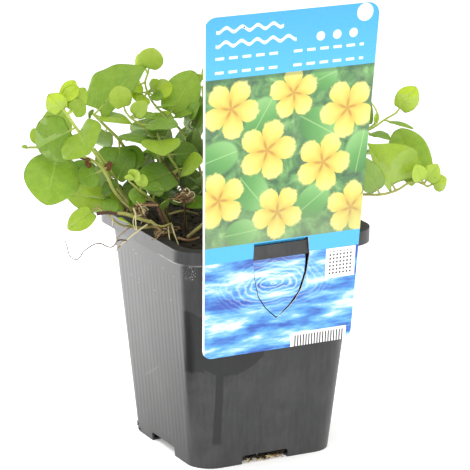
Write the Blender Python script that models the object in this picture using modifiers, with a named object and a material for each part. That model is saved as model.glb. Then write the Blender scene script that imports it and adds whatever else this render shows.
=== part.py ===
"""Potted creeping jenny: a square nursery pot of peat, rooted leafy shoots and a hooked plastic label.

Metres, +Z up. The origin is on the ground under the middle of the pot, and the label's side faces -Y.
"""

import math
from collections import namedtuple

import bmesh
import bpy
from mathutils import Matrix, Vector

MM = 0.001
GAP = 0.3

# Sizes in millimetres.
RIM_WIDTH = 90.0
POT_HEIGHT = 98.0
BASE_WIDTH = 65.4
POT_WALL = 1.0
LIP_REACH = 3.9
LIP_BAND = 5.9
CORNER_RADIUS = 10.5
CORNER_STEPS = 4
FOOT_WIDTH = 4.0
FLOOR_RAISE = 2.5
ARCH_WIDTH = 21.5
ARCH_HEIGHT = 3.8
ARCH_RADIUS = 1.1
ARCH_DEPTH = 5.4
FRONT_ARCH_SHIFT = -1.5
SLOT_WIDTH = 28.0

SOIL_EDGE_HEIGHT = 90.0
SOIL_MOUND = 2.2

LABEL_TOP = 79.3
LABEL_BOTTOM = 68.6
LABEL_HEIGHT = 144.6
LABEL_CORNER = 3.8
LABEL_THICKNESS = 0.46
LABEL_LEAN = math.radians(4.17)
LABEL_FOOT = (-1.7, -42.7, 52.2)
# The tongue's cut-out in the label, as (across, up from the label's foot), from the top left round to the
# top right.
TONGUE_CUT = [(-13.0, 47.6), (-13.1, 40.0), (-12.2, 32.2), (-10.1, 24.0), (-6.6, 18.8), (-1.1, 13.6),
              (4.3, 17.6), (7.4, 20.9), (10.0, 25.3), (12.1, 32.4), (13.0, 39.9), (12.0, 47.6)]
# The tongue itself, as (up, left side, right side, how far it stands behind the label), hooked over the
# pot's band.
TONGUE_ROWS = [(49.0, -12.5, 11.7, 0.0), (47.8, -12.5, 11.7, 0.1), (47.0, -12.5, 11.7, 1.3),
               (45.9, -12.5, 11.7, 2.4), (43.0, -12.6, 11.8, 2.4), (39.6, -12.7, 12.0, 2.1),
               (37.8, -12.5, 11.8, 1.2), (34.5, -12.1, 11.3, 0.4), (32.2, -11.8, 10.9, 0.1),
               (24.2, -9.7, 8.5, 0.0), (18.9, -6.1, 4.4, 0.0), (14.5, -1.4, -0.3, 0.0)]
TONGUE_CENTRE = -0.4
TONGUE_THICKNESS = 0.36

# The shoots are laid out across, forward and up, in a frame turned this far about Z from the pot.
PLANT_TURN = math.radians(27.3)
LEAF_THICKNESS = 0.6
PETIOLE = 3.0
PETIOLE_HALF_WIDTH = 0.5
STEM_CLEARANCE = 0.75
LEAF_ARCH = 0.09
LEAF_CURL = 0.05

FRONT = (0.0, 1.0, 0.25)
BACK = (0.0, -1.0, 0.4)
UP = (0.0, 0.2, 1.0)
UP_FRONT = (0.0, 0.7, 0.7)
UP_BACK = (0.0, -0.7, 0.7)
LEFT_FRONT = (-0.7, 0.7, 0.2)
LEFT_UP = (-0.6, 0.5, 0.7)
FRONT_LEFT_UP = (-0.5, 0.8, 0.5)

# A blade's outline, as (how much it tapers to its tip, how pointed the tip is, how deep the base is
# notched, how much wider its right side is than its left).
ROUND = (0.16, 0.0, 0.13, 0.0)
POINTED = (0.24, 0.55, 0.18, 0.0)
KIDNEY = (0.08, 0.0, 0.42, 0.0)
NARROW = (0.3, 0.35, 0.05, 0.0)
LEFT_SIDED = (0.2, 0.4, 0.2, -0.35)
RIGHT_SIDED = (0.34, 0.25, 0.35, 0.7)

# points: the stem's centre line, from the soil outwards. leaves: the large leaves, each (stem point, tip,
# width, the way its upper side faces, and its outline if that isn't ROUND). small: the small and young
# leaves, in the same form, grown as one with the stem.
Shoot = namedtuple("Shoot", "radius points leaves small")
SHOOTS = [
    Shoot(0.85, [(-36, 6, 93.5), (-39, 8, 99.5), (-42, 10, 104.5), (-49.5, 14, 115), (-53.5, 17, 123),
                 (-60, 20, 134), (-65, 21, 141), (-68.5, 20, 146), (-72, 19, 151)],
          [(6, (-59, 33.5, 133.5), 21, FRONT_LEFT_UP, KIDNEY), (6, (-81, 17, 131), 19.5, FRONT)],
          [(7, (-76, 22, 155), 9, FRONT), (8, (-65.5, 12, 158.5), 6, FRONT),
           (7, (-61.5, 12, 155.5), 8, FRONT)]),
    Shoot(0.8, [(-31, 15, 93.5), (-37, 17, 101.5), (-48.5, 20, 112.5), (-54, 20, 123), (-58, 18, 126),
                (-65.5, 14, 127.5), (-73, 10, 128.5), (-80.5, 6, 128.5), (-85, 4, 128)],
          [(6, (-77, 22, 108.5), 23.5, FRONT), (6, (-74.7, -6, 143.3), 13, FRONT)],
          [(7, (-83.8, 1, 135.5), 5, FRONT), (8, (-88.5, 4, 128.5), 3, UP)]),
    Shoot(0.85, [(-36, -6, 93.5), (-39.5, -4, 105), (-43.5, 0, 122), (-48, 2, 131), (-53, 3, 136.5),
                 (-58.5, 3, 142)],
          [(5, (-37, -7, 160.5), 19, FRONT_LEFT_UP, LEFT_SIDED), (5, (-42, 7, 139), 9, UP, NARROW),
           (3, (-47, 12, 116), 20, FRONT, POINTED)],
          [(4, (-56, -8, 126), 9, FRONT), (2, (-54, -8, 119), 9, FRONT)]),
    Shoot(0.6, [(-27, -3, 93.5), (-29.5, 2, 109.5), (-31.5, 5, 125.5), (-35, 6, 134), (-39, 7, 139),
                (-43, 8, 142), (-45, 8, 144.5)],
          [(6, (-48.5, 13, 156.5), 9.5, FRONT), (4, (-23.5, 13, 140), 12, UP)],
          [(5, (-36, 16, 151), 7, FRONT)]),
    Shoot(0.6, [(-20, 5, 93.5), (-21, 8, 107), (-23.5, 10, 120.5), (-27.5, 11, 127), (-30, 11, 132),
                (-31.5, 11, 135)],
          [(5, (-29, 26, 131), 16, UP), (4, (-48, 12, 135), 9, UP), (2, (-39, 24, 117), 15, UP_FRONT),
           (2, (-13, 20, 127), 11, UP_FRONT)],
          [(5, (-33, -1, 137), 8, UP), (1, (-12, 22, 108), 8, UP_FRONT)]),
    Shoot(0.65, [(-12, -3, 93.5), (-13, -4, 108), (-15, -6, 118.5), (-18, -8, 124.5), (-22, -10, 131.5),
                 (-28, -11, 137.5), (-33, -12, 142), (-36.5, -12, 148), (-37.5, -12, 152.5),
                 (-36.5, -12, 156)],
          [(9, (-34, -8, 168), 10.5, FRONT), (5, (-17, -22, 155), 15, FRONT),
           (3, (-11, -5, 145), 12, LEFT_UP), (6, (-25, -2, 145), 9, UP)],
          [(9, (-41, -18, 163), 6, LEFT_FRONT), (8, (-43, -5, 151), 6, FRONT),
           (7, (-40, -4, 145.5), 7, FRONT), (7, (-26, -14, 150.5), 8, FRONT),
           (2, (-16, 4, 137), 5, FRONT)]),
    Shoot(0.6, [(-24.5, 18, 93.5), (-29.5, 20, 105), (-33.5, 22, 110.5), (-38.5, 27, 116),
                (-43, 29, 120.5)],
          [(2, (-42.5, 24, 112.5), 7, FRONT)],
          [(4, (-39, 33, 126), 6, FRONT), (1, (-28, 31, 113), 6, UP_FRONT)]),
    Shoot(0.7, [(-40, -2, 93.5), (-44, 2, 101.5), (-49, 5, 105.5), (-53, 3, 106.5), (-57.5, 0, 110)],
          [(2, (-69.5, 14, 111), 12, FRONT), (4, (-67, -4, 120), 11, UP_FRONT)],
          [(2, (-54, 16, 106), 7, FRONT)]),
    Shoot(0.65, [(18, 2, 93.5), (27.5, 8, 102), (40, 12, 109.5), (53.5, 14, 111.5), (60.5, 14, 111.5),
                 (67, 13, 113), (74, 12, 116.5), (78.5, 12, 115.5), (80, 12, 114.5)],
          [(5, (55, 13, 133), 17, FRONT, RIGHT_SIDED), (7, (68, -6, 134.5), 16.5, FRONT),
           (4, (50, 26, 132), 10.5, FRONT, NARROW)],
          [(7, (83.5, 19, 126), 8, FRONT), (7, (74.5, 20, 126), 7, FRONT),
           (8, (87.5, 17, 119.5), 7.5, FRONT)]),
    Shoot(0.6, [(7, -9, 93.5), (21.5, -8, 105), (36, -6, 118.5), (48.5, -4, 129.5), (54.5, -3, 134),
                (58.5, -2, 136.5), (62.5, -2, 139.5), (67, -1, 142.5)],
          [(7, (75, 2, 154.5), 9.8, FRONT), (6, (74, 7, 138), 3, UP), (4, (46, -12, 155), 13, FRONT)],
          [(4, (64.5, 5, 133), 6, UP), (2, (44, -16, 116), 11, UP_BACK)]),
    Shoot(0.7, [(2, -14, 93.5), (3, -17, 108), (5, -20, 125), (6, -24, 142), (8, -27, 157)],
          [(3, (22, -17, 148), 17, UP_FRONT), (3, (-10, -34, 147), 17, UP_BACK)],
          [(2, (16, -9, 132), 13, UP_FRONT), (4, (14, -20, 170), 11, FRONT),
           (4, (2, -36, 168), 11, BACK)]),
    Shoot(0.7, [(12, -24, 93.5), (17, -30, 104), (24, -37, 116), (32, -44, 124), (40, -52, 128)],
          [(3, (47, -36, 132), 17, UP_BACK), (3, (22, -58, 124), 17, BACK)],
          [(2, (30, -26, 124), 12, UP), (1, (8, -42, 105), 12, UP_BACK),
           (4, (50, -60, 132), 10, UP_BACK)]),
    Shoot(0.7, [(-20, -22, 93.5), (-22, -26, 104), (-25, -31, 115), (-28, -37, 122), (-31, -43, 125)],
          [(3, (-44, -30, 130), 16, UP_BACK), (3, (-16, -50, 119), 16, BACK)],
          [(2, (-39, -24, 118), 12, UP), (1, (-14, -38, 106), 11, UP_BACK),
           (4, (-36.5, -40.5, 132), 10, UP_BACK)]),
    Shoot(0.65, [(14, -18, 93.5), (26, -22, 104), (40, -27, 113), (54, -31, 117), (66, -34, 117)],
          [(3, (62, -17, 123), 15, UP), (3, (56, -47, 114), 15, UP_BACK)],
          [(2, (40, -12, 112), 11, UP), (4, (77, -29, 121), 10, UP), (4, (73, -43.2, 116), 10, UP_BACK)]),
    Shoot(0.65, [(4, 10, 93.5), (6, 12, 106), (9, 13, 121), (12, 13, 135), (16, 12, 148)],
          [(3, (28, 13, 141), 15, UP_FRONT), (3, (-3, 14, 146), 15, UP_FRONT)],
          [(2, (22, 18, 122), 11, UP_FRONT), (2, (-5, 22, 118), 11, UP_FRONT),
           (4, (24, 12, 158), 9, FRONT)]),
    Shoot(0.6, [(-27, 26, 93.5), (-30, 27, 99.5), (-40, 31, 101.5), (-47, 30, 102.5), (-51.5, 26, 105.5),
                (-56, 22, 107.5)],
          [(5, (-68.5, 23, 98.5), 8.5, FRONT)],
          [(2, (-47, 37, 107), 6, UP), (4, (-50, 18, 110), 7, FRONT)]),
    Shoot(0.7, [(-8, -28, 93.5), (-10, -32, 106), (-12, -36, 120), (-13, -40, 133), (-14, -43, 143)],
          [(3, (-29, -33, 141), 16, UP_BACK), (3, (1, -50, 136), 16, BACK)],
          [(2, (-8, -53, 119), 12, BACK), (4, (-20, -42, 147), 10, BACK), (4, (-5, -47, 155), 10, BACK)]),
]


def new_material(name, colour, roughness):
    made = bpy.data.materials.new(name)
    made.use_nodes = True
    shader = made.node_tree.nodes["Principled BSDF"]
    shader.inputs["Base Color"].default_value = (*colour, 1.0)
    shader.inputs["Roughness"].default_value = roughness
    return made


def new_collection(name):
    made = bpy.data.collections.new(name)
    bpy.context.scene.collection.children.link(made)
    return made


def new_object(name, bm, collection, finish=None):
    """An object from a bmesh that is in millimetres."""
    bm.transform(Matrix.Scale(MM, 4))
    mesh = bpy.data.meshes.new(name)
    bm.to_mesh(mesh)
    bm.free()
    made = bpy.data.objects.new(name, mesh)
    collection.objects.link(made)
    if finish:
        mesh.materials.append(finish)
    return made


def new_cutter(name, bm, collection):
    made = new_object(name, bm, collection)
    made.hide_render = True
    made.display_type = "WIRE"
    return made


def add_thickness(piece, thickness, offset=0.0):
    wall = piece.modifiers.new("Wall", "SOLIDIFY")
    wall.thickness = thickness * MM
    wall.offset = offset
    wall.use_even_offset = True


def combine(piece, other, operation):
    step = piece.modifiers.new(other.name, "BOOLEAN")
    step.operation = operation
    step.solver = "EXACT"
    step.object = other


def wall_half(z):
    """Half the pot's outer width at height z."""
    top = RIM_WIDTH / 2 - LIP_REACH
    return BASE_WIDTH / 2 + (top - BASE_WIDTH / 2) * z / (POT_HEIGHT - POT_WALL)


def tapered_block(low, low_half, high, high_half, radius):
    """A square block with rounded upright corners, narrower at its foot."""
    bm = bmesh.new()
    bmesh.ops.create_cube(bm, size=2.0)
    for vert in bm.verts:
        half, z = (high_half, high) if vert.co.z > 0 else (low_half, low)
        vert.co = Vector((vert.co.x * half, vert.co.y * half, z))
    uprights = [edge for edge in bm.edges if abs(edge.verts[0].co.z - edge.verts[1].co.z) > 1.0]
    bmesh.ops.bevel(bm, geom=uprights, offset=radius, offset_type="OFFSET", affect="EDGES",
                    segments=CORNER_STEPS, profile=0.5, material=-1)
    return bm


def flat_face(bm, direction):
    return next(face for face in bm.faces if face.normal.z * direction > 0.99)


def make_pot(parts, cutters, finish):
    """The pot's outer skin up to the underside of its lip, given a wall inwards and over the lip."""
    rim_half = RIM_WIDTH / 2 - POT_WALL
    skin_top = POT_HEIGHT - POT_WALL
    bm = tapered_block(0, BASE_WIDTH / 2, skin_top, wall_half(skin_top), CORNER_RADIUS)
    bm.faces.remove(flat_face(bm, 1))
    floor = flat_face(bm, -1)
    bmesh.ops.inset_region(bm, faces=[floor], thickness=FOOT_WIDTH, use_even_offset=True)
    inner = bmesh.ops.extrude_face_region(bm, geom=[floor])["geom"]
    bm.faces.remove(floor)
    raised = [v for v in inner if isinstance(v, bmesh.types.BMVert)]
    bmesh.ops.translate(bm, vec=(0, 0, FLOOR_RAISE), verts=raised)
    mouth = [edge for edge in bm.edges if edge.is_boundary]
    widen = rim_half / wall_half(skin_top)
    for scale, drop in ((widen, 0), (1.0, POT_WALL - LIP_BAND)):
        grown = bmesh.ops.extrude_edge_only(bm, edges=mouth)["geom"]
        ring = [v for v in grown if isinstance(v, bmesh.types.BMVert)]
        mouth = [e for e in grown if isinstance(e, bmesh.types.BMEdge)]
        bmesh.ops.scale(bm, vec=(scale, scale, 1.0), verts=ring)
        bmesh.ops.translate(bm, vec=(0, 0, drop), verts=ring)
    pot = new_object("pot", bm, parts, finish)
    add_thickness(pot, POT_WALL, -1.0)
    for side in range(4):
        combine(pot, make_arch(side, cutters), "DIFFERENCE")
    combine(pot, make_label_slot(cutters), "DIFFERENCE")
    return pot


def make_arch(side, cutters):
    """A drain opening at the middle of one side, through the wall and the foot ring."""
    bm = bmesh.new()
    bmesh.ops.create_cube(bm, size=1.0)
    below = 2.0
    shift = FRONT_ARCH_SHIFT if side == 0 else 0.0
    bmesh.ops.scale(bm, vec=(ARCH_WIDTH, ARCH_DEPTH + 4.0, ARCH_HEIGHT + below), verts=bm.verts)
    middle = (shift, -BASE_WIDTH / 2 + ARCH_DEPTH / 2 - 2.0, (ARCH_HEIGHT - below) / 2)
    bmesh.ops.translate(bm, vec=middle, verts=bm.verts)
    crown = [e for e in bm.edges if all(v.co.z > 0 for v in e.verts) and e.verts[0].co.x == e.verts[1].co.x]
    bmesh.ops.bevel(bm, geom=crown, offset=ARCH_RADIUS, affect="EDGES", segments=2, profile=0.5, material=-1)
    arch = new_cutter(f"drain_arch_{side + 1}", bm, cutters)
    arch.rotation_euler.z = side * math.pi / 2
    return arch


def make_label_slot(cutters):
    """The slit in the lip, between its band and the wall, that takes the label's tongue."""
    outer = RIM_WIDTH / 2 - POT_WALL - 0.1
    inner = RIM_WIDTH / 2 - LIP_REACH + 0.1
    bm = bmesh.new()
    bmesh.ops.create_cube(bm, size=1.0)
    bmesh.ops.scale(bm, vec=(SLOT_WIDTH, outer - inner, 3.0), verts=bm.verts)
    centre = (LABEL_FOOT[0] + TONGUE_CENTRE, -(outer + inner) / 2, POT_HEIGHT - POT_WALL / 2)
    bmesh.ops.translate(bm, vec=centre, verts=bm.verts)
    return new_cutter("label_slot", bm, cutters)


def make_soil(parts, finish):
    """Peat that fills the pot to a low uneven mound."""
    low = FLOOR_RAISE + POT_WALL + GAP
    inset = POT_WALL + GAP
    bm = tapered_block(low, wall_half(low) - inset, SOIL_EDGE_HEIGHT, wall_half(SOIL_EDGE_HEIGHT) - inset,
                       CORNER_RADIUS - inset)
    top = flat_face(bm, 1)
    for thickness in (7.0, 9.0, 10.0):
        bmesh.ops.inset_region(bm, faces=[top], thickness=thickness, use_even_offset=False)
    bmesh.ops.poke(bm, faces=[top])
    reach = wall_half(SOIL_EDGE_HEIGHT) - inset
    for vert in bm.verts:
        if vert.co.z > SOIL_EDGE_HEIGHT - 1:
            spread = max(abs(vert.co.x), abs(vert.co.y)) / reach
            ripple = 0.5 * math.sin(vert.co.x * 0.31) * math.cos(vert.co.y * 0.27)
            vert.co.z += (SOIL_MOUND + ripple) * (1.0 - spread)
    return new_object("soil", bm, parts, finish)


def label_place():
    """Turns the label's own axes (across, up, out of its front) to its leaning place on the pot."""
    lean = Matrix.Rotation(math.pi / 2 + LABEL_LEAN, 4, "X")
    return Matrix.Translation(Vector(LABEL_FOOT) * MM) @ lean


def make_label(parts, cutters, finish):
    """A plastic card with a window and a tongue cut out of it, the tongue pushed back over the pot's band."""
    bm = bmesh.new()
    bmesh.ops.create_grid(bm, x_segments=1, y_segments=1, size=0.5)
    for vert in bm.verts:
        width = LABEL_TOP if vert.co.y > 0 else LABEL_BOTTOM
        vert.co = Vector((vert.co.x * width, (vert.co.y + 0.5) * LABEL_HEIGHT, 0))
    bmesh.ops.bevel(bm, geom=bm.verts, offset=LABEL_CORNER, affect="VERTICES", segments=4, profile=0.5,
                    material=-1)
    label = new_object("label", bm, parts, finish)
    add_thickness(label, LABEL_THICKNESS)

    bm = bmesh.new()
    outline = bm.faces.new([bm.verts.new((x, y, -2.0)) for x, y in TONGUE_CUT])
    outline.normal_update()
    grown = bmesh.ops.extrude_face_region(bm, geom=[outline])["geom"]
    bmesh.ops.translate(bm, vec=(0, 0, 4.0), verts=[v for v in grown if isinstance(v, bmesh.types.BMVert)])
    bmesh.ops.recalc_face_normals(bm, faces=bm.faces)
    window = new_cutter("tongue_cut", bm, cutters)

    bm = bmesh.new()
    bmesh.ops.create_grid(bm, x_segments=2, y_segments=len(TONGUE_ROWS) - 1, size=1.0)
    for vert in bm.verts:
        up, left, right, behind = TONGUE_ROWS[round((1.0 - vert.co.y) / 2 * (len(TONGUE_ROWS) - 1))]
        vert.co = Vector((left + (vert.co.x + 1.0) / 2 * (right - left), up, -behind))
    tongue = new_cutter("tongue", bm, cutters)
    add_thickness(tongue, TONGUE_THICKNESS)

    for piece in (label, window, tongue):
        piece.matrix_world = label_place()
    combine(label, window, "DIFFERENCE")
    combine(label, tongue, "UNION")
    return label


def plant_point(across, forward, up):
    return Matrix.Rotation(-PLANT_TURN, 3, "Z") @ Vector((across, -forward, up))


def blade_point(side, along, length, width, outline):
    """Bends a square grid's point, each way -1 to 1, to a blade with a heart-shaped base and its tip at +Y."""
    taper, point, notch, lean = outline
    half = width / 2 * (1 + lean if side > 0 else 1 - lean)
    x = side * math.sqrt(1 - along * along / 2)
    y = along * math.sqrt(1 - side * side / 2)
    lobe = notch * max(0.0, -y) ** 3 * min(1.0, 4 * x * x)
    arch = LEAF_ARCH * (1 - y * y) * length - LEAF_CURL * width * x * x
    narrowing = (1 - taper * y - taper * y ** 3) * (1 - point * max(0.0, y) ** 2)
    return Vector((x * narrowing * half, length * ((y + 1) / 2 - lobe), arch))


def make_leaf(name, stem, row, columns, rows, collection, finish, inside=False):
    """One round leaf on a short stalk, which stops just off the stem, or inside it where they are joined."""
    index, tip, width, facing, *outline = row
    root = plant_point(*stem.points[index])
    if index == len(stem.points) - 1:
        root += (plant_point(*stem.points[index - 1]) - root).normalized()
    tip = plant_point(*tip)
    along = (tip - root).normalized()
    base = root + along * min(PETIOLE, (tip - root).length * 0.3)
    length = (tip - base).length
    across = along.cross(plant_point(*facing)).normalized()
    out = across.cross(along)
    start = -0.3 if inside else stem.radius + STEM_CLEARANCE

    bm = bmesh.new()
    bmesh.ops.create_grid(bm, x_segments=columns, y_segments=rows, size=1.0)
    joint = [vert for vert in bm.verts if vert.co.y < -0.99 and abs(vert.co.x) < 0.6]
    for vert in bm.verts:
        vert.co = blade_point(vert.co.x, vert.co.y, length, width, *(outline or [ROUND]))
    for vert in joint:
        vert.co = Vector((min(max(vert.co.x, -PETIOLE_HALF_WIDTH), PETIOLE_HALF_WIDTH), 0, 0))
    stalk = [edge for edge in bm.edges if all(vert in joint for vert in edge.verts)]
    grown = bmesh.ops.extrude_edge_only(bm, edges=stalk)["geom"]
    reach = (base - root).length - start
    bmesh.ops.translate(bm, vec=(0, -reach, 0), verts=[v for v in grown if isinstance(v, bmesh.types.BMVert)])
    bmesh.ops.recalc_face_normals(bm, faces=bm.faces)

    leaf = new_object(name, bm, collection, finish)
    leaf.matrix_world = Matrix.Translation(base * MM) @ Matrix((across, along, out)).transposed().to_4x4()
    add_thickness(leaf, LEAF_THICKNESS)
    return leaf


def make_stem(name, shoot, parts, cutters, finish):
    """A stem as a tapering tube, with its small leaves joined to it."""
    curve = bpy.data.curves.new(name, "CURVE")
    curve.dimensions = "3D"
    curve.bevel_depth = shoot.radius * MM
    curve.bevel_resolution = 1
    curve.use_fill_caps = True
    spline = curve.splines.new("POLY")
    spline.points.add(len(shoot.points) - 1)
    for index, point in enumerate(shoot.points):
        spline.points[index].co = (*(plant_point(*point) * MM), 1.0)
        spline.points[index].radius = 1.0 - 0.35 * index / (len(shoot.points) - 1)
    guide = bpy.data.objects.new(name + "_line", curve)
    cutters.objects.link(guide)
    bpy.context.view_layer.update()
    mesh = bpy.data.meshes.new_from_object(guide.evaluated_get(bpy.context.evaluated_depsgraph_get()))
    bm = bmesh.new()
    bm.from_mesh(mesh)
    bmesh.ops.remove_doubles(bm, verts=bm.verts, dist=0.01 * MM)
    bm.to_mesh(mesh)
    bm.free()
    bpy.data.objects.remove(guide)

    stem = bpy.data.objects.new(name, mesh)
    mesh.materials.clear()
    mesh.materials.append(finish)
    parts.objects.link(stem)
    for number, row in enumerate(shoot.small):
        young = make_leaf(f"{name}_young_{number + 1}", shoot, row, 3, 2, cutters, None, inside=True)
        young.hide_render = True
        young.display_type = "WIRE"
        combine(stem, young, "UNION")
    return stem


def build():
    for obj in list(bpy.data.objects):
        bpy.data.objects.remove(obj)
    parts = new_collection("potted_creeping_jenny")
    cutters = new_collection("cutters")
    make_pot(parts, cutters, new_material("black_plastic", (0.035, 0.034, 0.033), 0.55))
    make_soil(parts, new_material("peat", (0.02, 0.012, 0.008), 0.95))
    make_label(parts, cutters, new_material("label_card", (0.25, 0.6, 0.4), 0.35))
    leaf_green = new_material("leaf_green", (0.22, 0.42, 0.08), 0.45)
    stem_green = new_material("stem_green", (0.5, 0.6, 0.12), 0.5)
    for number, shoot in enumerate(SHOOTS, 1):
        make_stem(f"stem_{number:02d}", shoot, parts, cutters, stem_green)
        for letter, row in zip("abcdef", shoot.leaves):
            make_leaf(f"leaf_{number:02d}{letter}", shoot, row, 4, 3, parts, leaf_green)


build()
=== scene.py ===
"""Finished look of the potted creeping jenny: square pot, peat, picture label and leafy shoots.

Lengths are in millimetres and turned to metres where a mesh is finished. The origin is on the ground under the middle
of the pot, and the label's side faces -Y. The shoots are laid out across, forward and up, turned by PLANT_TURN.
"""

import math
import random
from collections import namedtuple

import bmesh
import bpy
from mathutils import Matrix, Vector, noise

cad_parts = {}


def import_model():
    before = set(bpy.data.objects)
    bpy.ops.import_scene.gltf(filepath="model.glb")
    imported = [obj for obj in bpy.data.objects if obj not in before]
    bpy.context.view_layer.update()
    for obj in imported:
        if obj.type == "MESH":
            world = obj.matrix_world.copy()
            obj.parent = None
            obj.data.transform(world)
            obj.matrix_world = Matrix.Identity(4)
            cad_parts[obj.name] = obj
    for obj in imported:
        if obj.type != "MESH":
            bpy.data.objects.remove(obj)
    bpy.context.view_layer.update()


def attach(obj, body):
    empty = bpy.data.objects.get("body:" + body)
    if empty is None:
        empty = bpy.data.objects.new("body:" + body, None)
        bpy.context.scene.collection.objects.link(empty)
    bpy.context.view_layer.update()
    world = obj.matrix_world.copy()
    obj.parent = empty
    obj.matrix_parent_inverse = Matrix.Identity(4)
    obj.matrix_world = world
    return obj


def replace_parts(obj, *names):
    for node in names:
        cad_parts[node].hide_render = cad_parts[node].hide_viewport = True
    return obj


MM = 0.001

# The pot.
RIM_WIDTH = 90.0
POT_HEIGHT = 98.0
BASE_WIDTH = 65.4
POT_WALL = 1.0
LIP_REACH = 3.9
LIP_BAND = 5.9
CORNER_RADIUS = 10.5
CORNER_STEPS = 10
FOOT_WIDTH = 4.0
FLOOR_RAISE = 2.5
ARCH_WIDTH = 21.5
ARCH_HEIGHT = 3.8
ARCH_RADIUS = 1.1
ARCH_DEPTH = 5.4
FRONT_ARCH_SHIFT = -1.5
SLOT_WIDTH = 28.0
LIP_ROUNDING = 0.35
FLUTE_PITCH = 3.4
FLUTE_FOOT = 7.5
FLUTE_TOP = 83.0
FLUTE_REACH = 29.0
# The wet places on its front, as (from, to) across and (from, to) up.
WET_CORNER = ((-40.5, -32.0), (42.0, 70.0))
WET_DRIP = ((-26.4, -22.8), (11.0, 43.0))
WET_POOL = ((-36.0, -4.5), (41.0, 57.0))
WET_DROPS = ((-4.0, 12.0), (46.0, 58.0))
POOL_MIDDLE = -20.0

# The peat.
SOIL_LOW = 3.8
SOIL_EDGE_HEIGHT = 90.0
SOIL_MOUND = 2.2
# Heaped this much higher in the back left corner, from this far out on the diagonal and over this width.
CORNER_HEAP = 8.0
HEAP_START = 12.0
HEAP_SLOPE = 14.0
# The longest edge of its top's mesh.
TOP_GRAIN = 1.5
TOP_CRUMBS = 520
SLOT_CRUMBS = 200
SLOT_STRAWS = 26
CORNER_CRUMBS = 12
# The slots of its two finishes for straws.
BROWN_STRAW, PALE_STRAW = 1, 2

# The label, in its own frame: across its middle, up from its foot, out of its front.
LABEL_TOP = 79.3
LABEL_BOTTOM = 68.6
LABEL_HEIGHT = 144.6
LABEL_CORNER = 4.0
LABEL_UPPER_CORNER = 5.4
LABEL_THICKNESS = 0.46
LABEL_LEAN = math.radians(4.17)
LABEL_FOOT = (-1.7, -42.7, 52.2)
TONGUE_CUT = [(-13.0, 47.6), (-13.1, 40.0), (-12.2, 32.2), (-10.1, 24.0), (-6.6, 18.8), (-1.1, 13.6),
              (4.3, 17.6), (7.4, 20.9), (10.0, 25.3), (12.1, 32.4), (13.0, 39.9), (12.0, 47.6)]
TONGUE_ROWS = [(49.0, -12.5, 11.7, 0.0), (47.8, -12.5, 11.7, 0.1), (47.0, -12.5, 11.7, 1.3), (45.9, -12.5, 11.7, 2.4),
               (43.0, -12.6, 11.8, 2.4), (39.6, -12.7, 12.0, 2.1), (37.8, -12.5, 11.8, 1.2), (34.5, -12.1, 11.3, 0.4),
               (32.2, -11.8, 10.9, 0.1), (24.2, -9.7, 8.5, 0.0), (18.9, -6.1, 4.4, 0.0), (14.5, -1.4, -0.3, 0.0)]
TONGUE_CENTRE = -0.4
TONGUE_THICKNESS = 0.36
# How far up its printed water, blue band and picture reach, and where the picture's shade under the header starts.
WATER_TOP = 41.2
BAND_TOP = 48.0
PICTURE_TOP = 118.9
SHADE_FOOT = 117.4
RIPPLE_CENTRE = (-3.4, 29.2)
# The flowers printed on the label, as (across, up, radius, turn in degrees).
PRINTED_FLOWERS = [(-26.0, 106.0, 12.5, 10), (2.0, 110.0, 11.0, 50), (27.0, 101.0, 12.5, 25), (-9.0, 87.0, 13.0, 70),
                   (17.0, 79.0, 12.5, 5), (-30.0, 68.0, 12.0, 40), (-3.0, 60.0, 11.5, 20), (31.0, 58.0, 11.5, 60)]
# The leaves printed behind them, as (across, up, long radius, turn in degrees).
PRINTED_LEAVES = [(-12.0, 101.0, 9.0, 60), (14.0, 95.0, 9.5, -30), (34.0, 82.0, 9.0, 80), (-31.0, 86.0, 9.0, 15),
                  (-15.0, 70.0, 9.0, -50), (13.0, 63.0, 8.5, 35), (-19.0, 53.0, 7.5, 5), (15.0, 115.0, 7.0, 20)]

# The shoots.
PLANT_TURN = math.radians(27.3)
PETIOLE = 3.0
LEAF_THICKNESS = 0.35

FRONT = (0.0, 1.0, 0.25)
BACK = (0.0, -1.0, 0.4)
UP = (0.0, 0.2, 1.0)
UP_FRONT = (0.0, 0.7, 0.7)
UP_BACK = (0.0, -0.7, 0.7)
LEFT_FRONT = (-0.7, 0.7, 0.2)
LEFT_UP = (-0.6, 0.5, 0.7)
FRONT_LEFT_UP = (-0.5, 0.8, 0.5)

# A blade's outline, as (how much it tapers to its tip, how pointed the tip is, how deep the base is notched, how
# much wider its right side is than its left).
ROUND = (0.16, 0.0, 0.13, 0.0)
POINTED = (0.24, 0.55, 0.18, 0.0)
KIDNEY = (0.08, 0.0, 0.42, 0.0)
NARROW = (0.3, 0.35, 0.05, 0.0)
LEFT_SIDED = (0.2, 0.4, 0.2, -0.35)
RIGHT_SIDED = (0.34, 0.25, 0.35, 0.7)

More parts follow.
